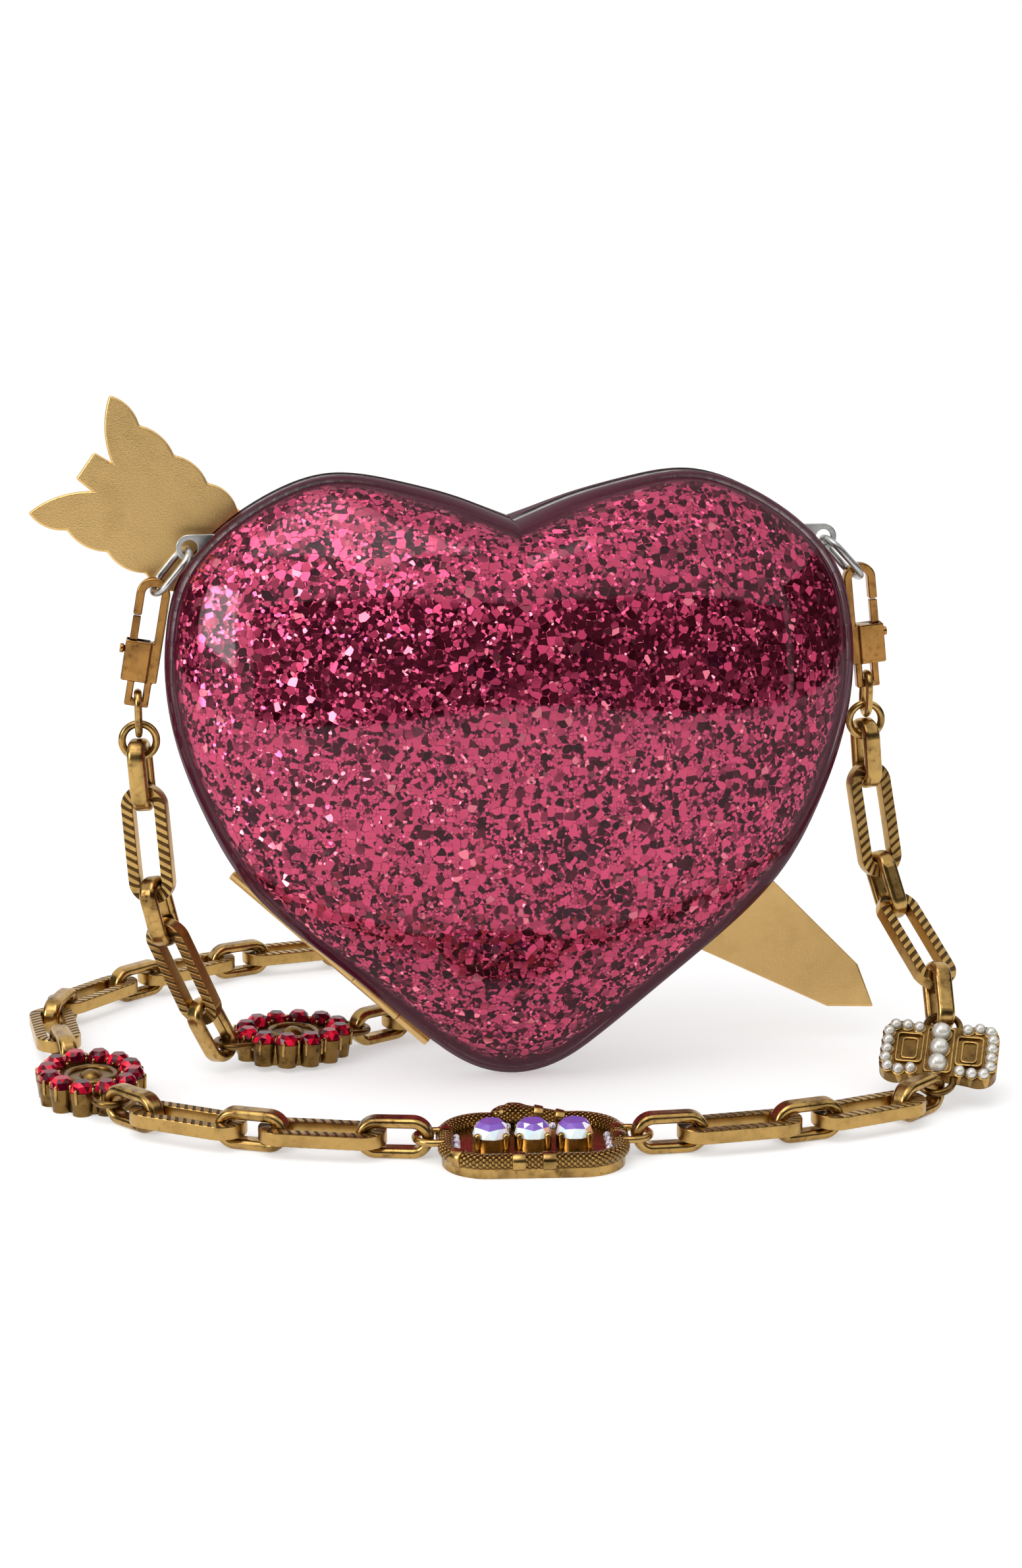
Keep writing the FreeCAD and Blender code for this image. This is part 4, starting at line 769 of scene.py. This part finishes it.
@dataclass
class SoftenedMetalwork:
    """Plates, tabs and hooks: copies of their nodes with broken edges."""

    palette: Palette
    plate_edge: float = 0.6 * MM
    hook_edge: float = 0.45 * MM
    gate_edge: float = 0.28 * MM
    merge: float = 0.002 * MM
    flat_angle: float = 0.4

    def soften(self, node: str, edge: float, body: Body, slot: Slot) -> None:
        """Copy a node, merge its points and round its edges.

        Args:
            node: Name of the node.
            edge: Width of the rounding.
            body: Body that carries it.
            slot: Slot of its finish.
        """
        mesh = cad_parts[node].data.copy()
        piece = bpy.data.objects.new(node + "_soft", mesh)
        bpy.context.scene.collection.objects.link(piece)
        if mesh.has_custom_normals:
            Bench.only(piece)
            bpy.ops.mesh.customdata_custom_splitnormals_clear()
        with Bench.editing(piece):
            bpy.ops.mesh.remove_doubles(threshold=self.merge)
            bpy.ops.mesh.dissolve_limited(angle_limit=math.radians(self.flat_angle))
            bpy.ops.mesh.normals_make_consistent(inside=False)
        Bench.bevel(piece, edge, 38.0, segments=3, use_clamp_overlap=False)
        Bench.smooth(piece, 32.0)
        Bench.modify(piece, "WEIGHTED_NORMAL", keep_sharp=True)
        Bench.hand_in(piece, body, slot, self.palette.by_slot[slot], [node])

    def build(self) -> None:
        """Soften the plates, tabs and hooks."""
        for node in ("arrow_tail", "arrow_head"):
            self.soften(node, self.plate_edge, Body.CASE, Slot.ARROW_GOLD)
        for side, gate in (("left", Body.LEFT_GATE), ("right", Body.RIGHT_GATE)):
            self.soften(side + "_tab", self.gate_edge, Body.CASE, Slot.OLD_SILVER)
            self.soften(side + "_hook_body", self.hook_edge, Body.CASE, Slot.HOOK_GOLD)
            self.soften(side + "_hook_gate", self.gate_edge, gate, Slot.HOOK_GOLD)


# Centre and direction of every long link that lies on the table
LYING_LEVEL = 0.0052
LYING_LINKS = (
    (-0.01842, 0.03669, 0.809, 0.5878), (-0.00474, 0.06584, -0.0539, 0.9985),
    (-0.02017, 0.09413, -0.8102, 0.5861), (-0.05261, 0.10124, -0.9781, -0.2079),
    (-0.08531, 0.08803, -0.848, -0.5299), (-0.11244, 0.06527, -0.6691, -0.7431),
    (-0.12245, 0.03371, 0.1219, -0.9925), (-0.08777, -0.04545, 0.848, -0.5299),
    (-0.05541, -0.05986, 0.9613, -0.2756), (0.04688, -0.06896, 0.9945, 0.1045),
    (0.08164, -0.06157, 0.9511, 0.309))


@dataclass
class LongLinks:
    """Ribbed long links of the chain."""

    palette: Palette
    length: float = 32.0 * MM
    width: float = 12.2 * MM
    bar: float = 3.2 * MM
    thickness: float = 3.6 * MM
    edge: float = 0.45 * MM
    round_points: int = 48
    places: Tuple[Place, ...] = (
        Place((-0.09536, 0.0022, 0.06454), (0.0698, 0.0, -0.9976), (0.3255, 0.9453, 0.0228)),
        Place((-0.08712, 0.00397, 0.02903), (0.3774, 0.1011, -0.9205), (0.5194, 0.7998, 0.3008)),
        *(Place((x, y, LYING_LEVEL), (along_x, along_y, 0.0), UP) for x, y, along_x, along_y in LYING_LINKS),
        Place((0.10716, -0.01287, 0.03471), (-0.2731, 0.7505, 0.6018), (0.2058, -0.5655, 0.7986)),
        Place((0.09867, 0.00124, 0.06496), (-0.1632, 0.0594, 0.9848), (0.2408, -0.9656, 0.0981)),
    )

    def template(self) -> Piece:
        """One link about the origin, long along X and flat in Z."""
        outer = self.width / 2
        reach = self.length / 2 - outer
        inner = (outer - self.bar) / outer
        link = Bench.start(bpy.ops.mesh.primitive_circle_add, "link_template", vertices=self.round_points,
                           radius=outer)
        with Bench.editing(link):
            bpy.ops.mesh.extrude_edges_move()
            bpy.ops.transform.resize(value=(inner, inner, 1.0))
            Bench.everything()
            Bench.shift(0.0, 0.0, -self.thickness / 2)
            bpy.ops.mesh.extrude_region_move(TRANSFORM_OT_translate={"value": (0.0, 0.0, self.thickness)})
            for sign in (1.0, -1.0):
                Bench.pick(link, lambda spot: spot.x * sign > 0.01 * MM)
                Bench.shift(sign * reach, 0.0, 0.0)
            Bench.everything()
            bpy.ops.mesh.normals_make_consistent(inside=False)
        Bench.bevel(link, self.edge, 60.0)
        Bench.smooth(link, 40.0)
        Bench.modify(link, "WEIGHTED_NORMAL", keep_sharp=True)
        spots = link.data.attributes.new("place", "FLOAT_VECTOR", "POINT")
        for point in link.data.vertices:
            spots.data[point.index].vector = point.co
        return link

    def build(self) -> None:
        """Lay the links."""
        template = self.template()
        for number, place in enumerate(self.places, start=1):
            node = "long_link_%02d" % number
            link = Bench.copies(template, node + "_ribbed", [place.matrix()])
            Bench.hand_in(link, Body.CASE, Slot.CHAIN_GOLD, self.palette.ribbed, [node])
        Bench.discard(template)


@dataclass
class StoneSetter:
    """Cut stones and the claws that hold them."""

    palette: Palette
    turn_seed: int = 7

    def stone(self, radius: float, height: float, table: float, seed: int) -> Piece:
        """A faceted stone that stands on the origin.

        Args:
            radius: Radius of its girdle.
            height: Height above the girdle.
            table: Share of the height at which the dome is cut flat.
            seed: Seed of its facet tones.

        Returns:
            The template.
        """
        stone = Bench.start(bpy.ops.mesh.primitive_ico_sphere_add, "stone_template", subdivisions=2,
                            radius=radius)
        with Bench.editing(stone):
            bpy.ops.transform.resize(value=(1.0, 1.0, height / table / radius))
            bpy.ops.mesh.bisect(plane_co=(0.0, 0.0, height), plane_no=UP, use_fill=True, clear_outer=True)
            Bench.everything()
            bpy.ops.mesh.bisect(plane_co=CENTRE, plane_no=UP, use_fill=True, clear_inner=True)
            Bench.everything()
            bpy.ops.mesh.dissolve_limited(angle_limit=math.radians(2.0))
            bpy.ops.mesh.normals_make_consistent(inside=False)
        Bench.facets(stone, seed)
        return stone

    def claw(self, radius: float, drop: float) -> Piece:
        """A ball-topped claw whose ball is about the origin."""
        claw = Bench.start(bpy.ops.mesh.primitive_uv_sphere_add, "claw_template", segments=10, ring_count=8,
                           radius=radius)
        with Bench.editing(claw):
            Bench.pick(claw, lambda spot: spot.z < -radius * 0.3)
            Bench.shift(0.0, 0.0, -drop)
            Bench.scale(0.8, 0.8, 1.0)
        Bench.smooth(claw, 60.0)
        return claw

    def set_stones(self, node: str, place: Place, slot: Slot, table: float, seeds: int) -> Corners:
        """Replace the stones of a node by cut ones.

        Args:
            node: Node that holds the stones.
            place: Local frame of the ornament.
            slot: Slot of their finish.
            table: Share of the height at which each is cut flat.
            seeds: Number of different stones.

        Returns:
            Lowest and highest corners of the stones, in the local frame.
        """
        local = place.matrix()
        found = islands(node, local)
        radius = max(high.x - low.x for low, high in found) / 2
        height = max(high.z - low.z for low, high in found)
        shapes = [self.stone(radius, height, table, seed) for seed in range(seeds)]
        chance = random.Random(self.turn_seed)
        groups: Dict[int, List[Matrix]] = {seed: [] for seed in range(seeds)}
        for number, (low, high) in enumerate(found):
            spot = Vector(((low.x + high.x) / 2, (low.y + high.y) / 2, low.z))
            turn = Matrix.Rotation(chance.uniform(0.0, 2.0 * math.pi), 4, "Z")
            groups[number % seeds].append(local @ Matrix.Translation(spot) @ turn)
        made = [Bench.copies(shapes[seed], "%s_cut_%d" % (node, seed), spots)
                for seed, spots in groups.items() if spots]
        stones = Bench.join(made, node + "_cut")
        if slot is Slot.CRYSTAL:
            Bench.sheen(stones, seeds)
        Bench.discard(*shapes)
        Bench.hand_in(stones, Body.CASE, slot, self.palette.by_slot[slot], [node])
        return found

    def set_claws(self, name: str, place: Place, found: Corners, radius: float, drop: float,
                  lift: float) -> None:
        """Stand four claws round every stone.

        Args:
            name: Name of the piece.
            place: Local frame of the ornament.
            found: Corners of the stones.
            radius: Radius of a claw's ball.
            drop: Length of its shank.
            lift: Height of the balls above the foot of the stone.
        """
        template = self.claw(radius, drop)
        spots = []
        for low, high in found:
            reach = (high.x - low.x) / 2 + radius * 0.35
            for quarter in range(4):
                angle = math.pi * (quarter + 0.5) / 2
                spots.append(place.matrix() @ Matrix.Translation((
                    (low.x + high.x) / 2 + reach * math.cos(angle),
                    (low.y + high.y) / 2 + reach * math.sin(angle), low.z + lift)))
        claws = Bench.copies(template, name, spots)
        Bench.discard(template)
        Bench.hand_in(claws, Body.CASE, Slot.CHAIN_GOLD, self.palette.gold)


@dataclass
class Medallions:
    """The two oval ornaments of red stones."""

    palette: Palette
    rear: Place = Place((-0.05831, 0.01571, 0.00114), (0.926, 0.3741, -0.0508), (0.0471, 0.019, 0.9987))
    front: Place = Place((-0.11207, -0.01001, 0.0), (0.309, -0.9511, 0.0), (0.0, 0.0, 1.0))
    claw_radius: float = 0.5 * MM
    claw_drop: float = 3.2 * MM
    claw_lift: float = 0.55 * MM

    def build(self) -> None:
        """Set their stones and claws."""
        setter = StoneSetter(self.palette)
        for name, place in (("rear_medallion", self.rear), ("front_medallion", self.front)):
            found = setter.set_stones(name + "_stones", place, Slot.RED_STONE, 0.78, 4)
            setter.set_claws(name + "_claws", place, found, self.claw_radius, self.claw_drop, self.claw_lift)


@dataclass
class Snake:
    """Snake that lies round a tray of crystals."""

    palette: Palette
    place: Place = Place((-0.00458, -0.06796, 0.0), (0.9962, -0.0872, 0.0), (0.0, 0.0, 1.0))
    length: float = 46.5 * MM
    width: float = 33.0 * MM
    corner: float = 12.0 * MM
    tube: float = 1.8 * MM
    level: float = 4.05 * MM
    neck_drop: float = 1.6 * MM
    neck_reach: float = 7.0 * MM
    skin: float = 0.15 * MM
    collar: float = 0.3 * MM
    collar_length: float = 3.3 * MM
    neck_band: float = 2.35 * MM
    neck_band_length: float = 2.4 * MM
    band_edge: float = 0.35 * MM
    head_along: float = -4.2 * MM
    head_in: float = 0.1 * MM
    head_size: Triple = (5.9, 3.4, 2.5)
    head_tapers: Tuple[Tuple[float, float, Triple], ...] = (
        (-1.0, 1.9 * MM, (1.0, 0.86, 0.84)), (-1.0, 3.8 * MM, (0.94, 0.86, 0.84)),
        (1.0, 2.2 * MM, (1.0, 0.84, 0.95)))
    neck_from: float = 4.4 * MM
    head_girth: float = 16.0 * MM
    eye: Triple = (-2.9 * MM, 2.1 * MM, 1.1 * MM)
    eye_reach: float = 0.8 * MM
    steps: int = 64
    around: int = 18

    def band(self, name: str, radius: float, length: float) -> Piece:
        """A plain band about the origin, its axis along X."""
        band = Bench.start(bpy.ops.mesh.primitive_cylinder_add, name, vertices=28, radius=radius,
                           depth=length, end_fill_type="NGON")
        with Bench.editing(band):
            Bench.turn("Y")
        Bench.bevel(band, self.band_edge, 40.0)
        Bench.smooth(band, 35.0)
        return band

    def lay_bands(self, band: Piece, name: str, places: Sequence[Matrix]) -> None:
        """Lay copies of a band, in the local frame, and remove it."""
        local = self.place.matrix()
        bands = Bench.copies(band, name, [local @ place for place in places])
        Bench.discard(band)
        Bench.hand_in(bands, Body.CASE, Slot.CHAIN_GOLD, self.palette.gold)

    def body(self) -> None:
        """The scaled body over the tube."""
        bend = self.corner - self.tube
        thick = self.tube + self.skin
        body = Bench.start(bpy.ops.mesh.primitive_torus_add, "snake_body", major_segments=self.steps,
                           minor_segments=self.around, major_radius=bend, minor_radius=thick)
        chord = (body.data.vertices[self.around].co - body.data.vertices[0].co).length
        with Bench.editing(body):
            for axis, half in ((0, self.length / 2), (1, self.width / 2)):
                for sign in (1.0, -1.0):
                    Bench.pick(body, lambda spot: spot[axis] * sign > 0.01 * MM)
                    step = [0.0, 0.0, 0.0]
                    step[axis] = sign * (half - self.corner)
                    Bench.shift(*step)
        outside = [body.data.vertices[number * self.around].co for number in range(self.steps)]
        lengths = [0.0]
        for number in range(self.steps):
            step = (outside[(number + 1) % self.steps] - outside[number]).length
            on_bend = chord > step * 0.99
            lengths.append(lengths[-1] + step * (bend / (bend + thick) if on_bend else 1.0))
        layer = body.data.uv_layers[0]
        layer.name = "skin"
        girth = 2.0 * math.pi * thick
        for corner in layer.data:
            step = min(self.steps, max(0, round(corner.uv[0] * self.steps)))
            corner.uv = (lengths[step], corner.uv[1] * girth)
        Bench.smooth(body, 60.0)
        body.data.transform(self.place.matrix() @ Matrix.Translation((0.0, 0.0, self.level)))
        Bench.hand_in(body, Body.CASE, Slot.CHAIN_GOLD, self.palette.scaled)

    def collars(self) -> None:
        """Plain bands round the body."""
        front = -self.width / 2 + self.tube
        side = self.length / 2 - self.tube
        spots = [(-4.2 * MM, front, 0.0), (3.1 * MM, front, 0.0), (-side + 3.0 * MM, front + 3.0 * MM, -45.0),
                 (-side, 4.5 * MM, 90.0), (side, -1.5 * MM, 90.0), (side, 4.4 * MM, 90.0)]
        places = [Matrix.Translation((x, y, self.level)) @ Matrix.Rotation(math.radians(turn), 4, "Z")
                  for x, y, turn in spots]
        band = self.band("collar_template", self.tube + self.skin + self.collar, self.collar_length)
        self.lay_bands(band, "snake_collars", places)

    def head(self) -> None:
        """The head that rests on the body, with its neck and two bands."""
        back = self.width / 2 - self.tube - self.head_in
        head = Bench.start(bpy.ops.mesh.primitive_uv_sphere_add, "snake_head", segments=28, ring_count=18,
                           radius=1.0 * MM)
        with Bench.editing(head):
            Bench.turn("Y")
            bpy.ops.transform.resize(value=self.head_size)
            for sign, reach, scale in self.head_tapers:
                Bench.pick(head, lambda spot: spot.x * sign > reach)
                Bench.scale(*scale)
            Bench.pick(head, lambda spot: spot.x > self.neck_from)
            Bench.shift(self.neck_reach, 0.0, -self.neck_drop)
            Bench.scale(1.0, 1.1, 1.25, (0.0, 0.0, -self.neck_drop))
            for sign in (1.0, -1.0):
                eye = Vector((self.eye[0], sign * self.eye[1], self.eye[2]))
                Bench.pick(head, lambda spot: (spot - eye).length < self.eye_reach)
                Bench.shift(0.0, -sign * 0.4 * MM, -0.2 * MM)
        layer = head.data.uv_layers[0]
        layer.name = "skin"
        for loop in head.data.loops:
            corner = layer.data[loop.index]
            corner.uv = (head.data.vertices[loop.vertex_index].co.x, corner.uv[0] * self.head_girth)
        Bench.smooth(head, 60.0)
        spot = Matrix.Translation((self.head_along, back, self.level + self.tube))
        head.data.transform(self.place.matrix() @ spot)
        Bench.hand_in(head, Body.CASE, Slot.CHAIN_GOLD, self.palette.scaled)
        dip = Matrix.Rotation(math.atan2(self.neck_drop, self.neck_reach), 4, "Y")
        places = [Matrix.Translation((along, back, self.level + rise)) @ dip
                  for along, rise in ((1.9 * MM, 1.3 * MM), (7.3 * MM, 0.15 * MM))]
        band = self.band("neck_band_template", self.neck_band, self.neck_band_length)
        self.lay_bands(band, "snake_neck_bands", places)

    def build(self) -> None:
        """Build the snake and set its stones."""
        self.body()
        self.collars()
        self.head()
        setter = StoneSetter(self.palette)
        found = setter.set_stones("snake_crystals", self.place, Slot.CRYSTAL, 0.74, 3)
        setter.set_claws("snake_claws", self.place, found, 0.85 * MM, 2.6 * MM, 0.6 * MM)
        setter.set_stones("snake_small_stones", self.place, Slot.CLEAR_STONE, 0.8, 4)


@dataclass
class PearlPlaque:
    """Cups of the pearls and raised rims of the plate that holds them."""

    palette: Palette
    place: Place = Place((0.1072, -0.0377, 0.00717), (0.3309, 0.819, 0.4688), (-0.1756, -0.4346, 0.8833))
    seat_share: float = 0.5
    cup_wall: float = 0.35 * MM
    cup_lip: float = 0.35 * MM
    cup_depth: float = 3.2 * MM
    cup_edge: float = 0.16 * MM
    rim_edge: float = 0.15 * MM
    rim_corner: float = 1.3 * MM
    # Along, across and half width; half length; height
    rims: Tuple[Tuple[Triple, float, float], ...] = (
        ((0.0, 7.7 * MM, 3.6 * MM), 5.3 * MM, 0.75 * MM), ((0.0, 7.7 * MM, 2.2 * MM), 3.9 * MM, 0.4 * MM),
        ((0.0, -7.7 * MM, 3.6 * MM), 5.3 * MM, 0.75 * MM), ((0.0, -7.7 * MM, 2.2 * MM), 3.9 * MM, 0.4 * MM),
        ((0.0, 0.0, 3.7 * MM), 8.1 * MM, 0.6 * MM))
    bar: float = 0.6 * MM

    def cups(self, node: str) -> float:
        """Stand a cup under every pearl of a node.

        Args:
            node: Node that holds the pearls.

        Returns:
            Height of the plate's face in the local frame.
        """
        local = self.place.matrix()
        found = islands(node, local)
        radius = max(high.x - low.x for low, high in found) / 2
        face = (found[0][0].z + found[0][1].z) / 2 - radius * self.seat_share
        cup = Bench.start(bpy.ops.mesh.primitive_cylinder_add, "cup_template", vertices=24,
                          radius=radius + self.cup_wall, depth=self.cup_depth, end_fill_type="NGON")
        with Bench.editing(cup):
            Bench.shift(0.0, 0.0, self.cup_lip - self.cup_depth / 2)
            Bench.pick(cup, lambda spot: spot.z < 0.0)
            Bench.scale(0.9, 0.9, 1.0)
        Bench.bevel(cup, self.cup_edge, 50.0)
        Bench.smooth(cup, 35.0)
        spots = [local @ Matrix.Translation(((low.x + high.x) / 2, (low.y + high.y) / 2, face))
                 for low, high in found]
        cups = Bench.copies(cup, node + "_cups", spots)
        Bench.discard(cup)
        Bench.hand_in(cups, Body.CASE, Slot.CHAIN_GOLD, self.palette.gold)
        return face

    def rim(self, number: int, half_along: float, half_across: float, height: float) -> Piece:
        """One rectangular rim that stands on the origin."""
        rim = Bench.start(bpy.ops.mesh.primitive_plane_add, "plaque_rim_%d" % number, size=2.0 * MM)
        with Bench.editing(rim):
            bpy.ops.transform.resize(value=(half_along / MM, half_across / MM, 1.0))
            bpy.ops.mesh.bevel(offset=self.rim_corner, segments=4, affect="VERTICES")
            bpy.ops.mesh.select_mode(type="FACE")
            Bench.everything()
            bpy.ops.mesh.inset(thickness=self.bar)
            bpy.ops.mesh.delete(type="FACE")
            Bench.everything()
            bpy.ops.mesh.extrude_region_move(TRANSFORM_OT_translate={"value": (0.0, 0.0, height)})
            Bench.everything()
            bpy.ops.mesh.normals_make_consistent(inside=False)
        Bench.bevel(rim, self.rim_edge, 50.0)
        Bench.smooth(rim, 35.0)
        return rim

    def build(self) -> None:
        """Set the cups and the rims."""
        self.cups("large_pearls")
        face = self.cups("small_pearls")
        local = self.place.matrix()
        for number, ((along, across, half_across), half_along, height) in enumerate(self.rims, start=1):
            rim = self.rim(number, half_along, half_across, height)
            rim.data.transform(local @ Matrix.Translation((along, across, face)))
            Bench.hand_in(rim, Body.CASE, Slot.CHAIN_GOLD, self.palette.gold)


@dataclass
class Studio:
    """Floor, lights, world and camera."""

    target: Triple = (-0.0004, 0.0, 0.078)
    azimuth: float = -8.0
    elevation: float = 12.5
    distance: float = 0.700
    lens: float = 61.06
    floor_size: float = 8.0
    cards: Tuple[Tuple[str, float, Tuple[float, float], float], ...] = (
        ("front_card", 0.0, (0.42, -1.25), 3.4), ("left_card", 90.0, (-1.5, 0.35), 1.5),
        ("right_card", 90.0, (1.7, 0.0), 1.8))
    lamps: Tuple[Tuple[str, Triple, float, float], ...] = (
        ("key_lamp", (-0.35, -0.45, 1.25), 0.9, 6.0), ("left_lamp", (-1.15, -0.55, 0.55), 0.5, 6.0))
    card_low: float = 0.02
    card_height: float = 0.95

    def plain(self, name: str, colour: Colour, glow: float = 0.0) -> Finish:
        """A plain matt surface, which can glow to lift its shadows."""
        graph = Graph(name)
        return graph.surface(Base_Color=colour, Roughness=1.0, Specular_IOR_Level=0.0,
                             Emission_Color=(1.0, 1.0, 1.0), Emission_Strength=glow)

    def floor(self) -> None:
        """White floor that takes the shadow, and dark cards that only show in reflections."""
        floor = Bench.start(bpy.ops.mesh.primitive_plane_add, "floor", size=self.floor_size)
        floor.data.materials.append(self.plain("floor_white", (0.56, 0.56, 0.56), glow=0.45))
        black = self.plain("card_black", (0.012, 0.010, 0.010))
        for name, turn, spot, width in self.cards:
            card = Bench.start(bpy.ops.mesh.primitive_plane_add, name, size=1.0)
            with Bench.editing(card):
                Bench.turn("X")
                Bench.scale(width, 1.0, self.card_height)
                Bench.turn("Z", math.radians(turn))
                Bench.shift(*spot, self.card_low + self.card_height / 2)
            card.data.materials.append(black)
            card.visible_camera = False
            card.visible_diffuse = False
            card.visible_shadow = False

    def lamp(self, name: str, spot: Triple, size: float, power: float) -> None:
        """A square lamp that faces the purse."""
        light = bpy.data.lights.new(name, "AREA")
        light.size = size
        light.energy = power
        lamp = bpy.data.objects.new(name, light)
        lamp.location = spot
        lamp.rotation_euler = (Vector(self.target) - Vector(spot)).to_track_quat("-Z", "Y").to_euler()
        bpy.context.scene.collection.objects.link(lamp)

    def world(self) -> None:
        """White surroundings."""
        world = bpy.data.worlds.new("surroundings")
        bpy.context.scene.world = world
        world.use_nodes = True
        tree = world.node_tree
        tree.nodes.clear()
        sky = tree.nodes.new("ShaderNodeBackground")
        sky.inputs["Color"].default_value = (1.0, 1.0, 1.0, 1.0)
        sky.inputs["Strength"].default_value = 1.0
        out = tree.nodes.new("ShaderNodeOutputWorld")
        tree.links.new(sky.outputs[0], out.inputs["Surface"])

    def camera(self) -> None:
        """Camera of the photograph."""
        lens = bpy.data.cameras.new("camera")
        lens.lens = self.lens
        lens.sensor_width = 36.0
        lens.clip_start = 0.01
        camera = bpy.data.objects.new("camera", lens)
        across, rise = math.radians(self.azimuth), math.radians(self.elevation)
        away = Vector((math.sin(across) * math.cos(rise), -math.cos(across) * math.cos(rise), math.sin(rise)))
        camera.location = Vector(self.target) + away * self.distance
        camera.rotation_euler = (-away).to_track_quat("-Z", "Y").to_euler()
        bpy.context.scene.collection.objects.link(camera)
        bpy.context.scene.camera = camera

    def build(self) -> None:
        """Set the stage."""
        scene = bpy.context.scene
        scene.view_settings.view_transform = "Standard"
        self.floor()
        self.world()
        for lamp in self.lamps:
            self.lamp(*lamp)
        self.camera()
        LOG.info("studio set")


def main() -> None:
    """Dress the frame, add the worked pieces and set the stage."""
    logging.basicConfig(level=logging.INFO, format="%(message)s")
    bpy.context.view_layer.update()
    palette = Palette()
    CadDress(palette).build()
    SoftenedMetalwork(palette).build()
    LongLinks(palette).build()
    Medallions(palette).build()
    Snake(palette).build()
    PearlPlaque(palette).build()
    Studio().build()


if __name__ == "__main__":
    main()
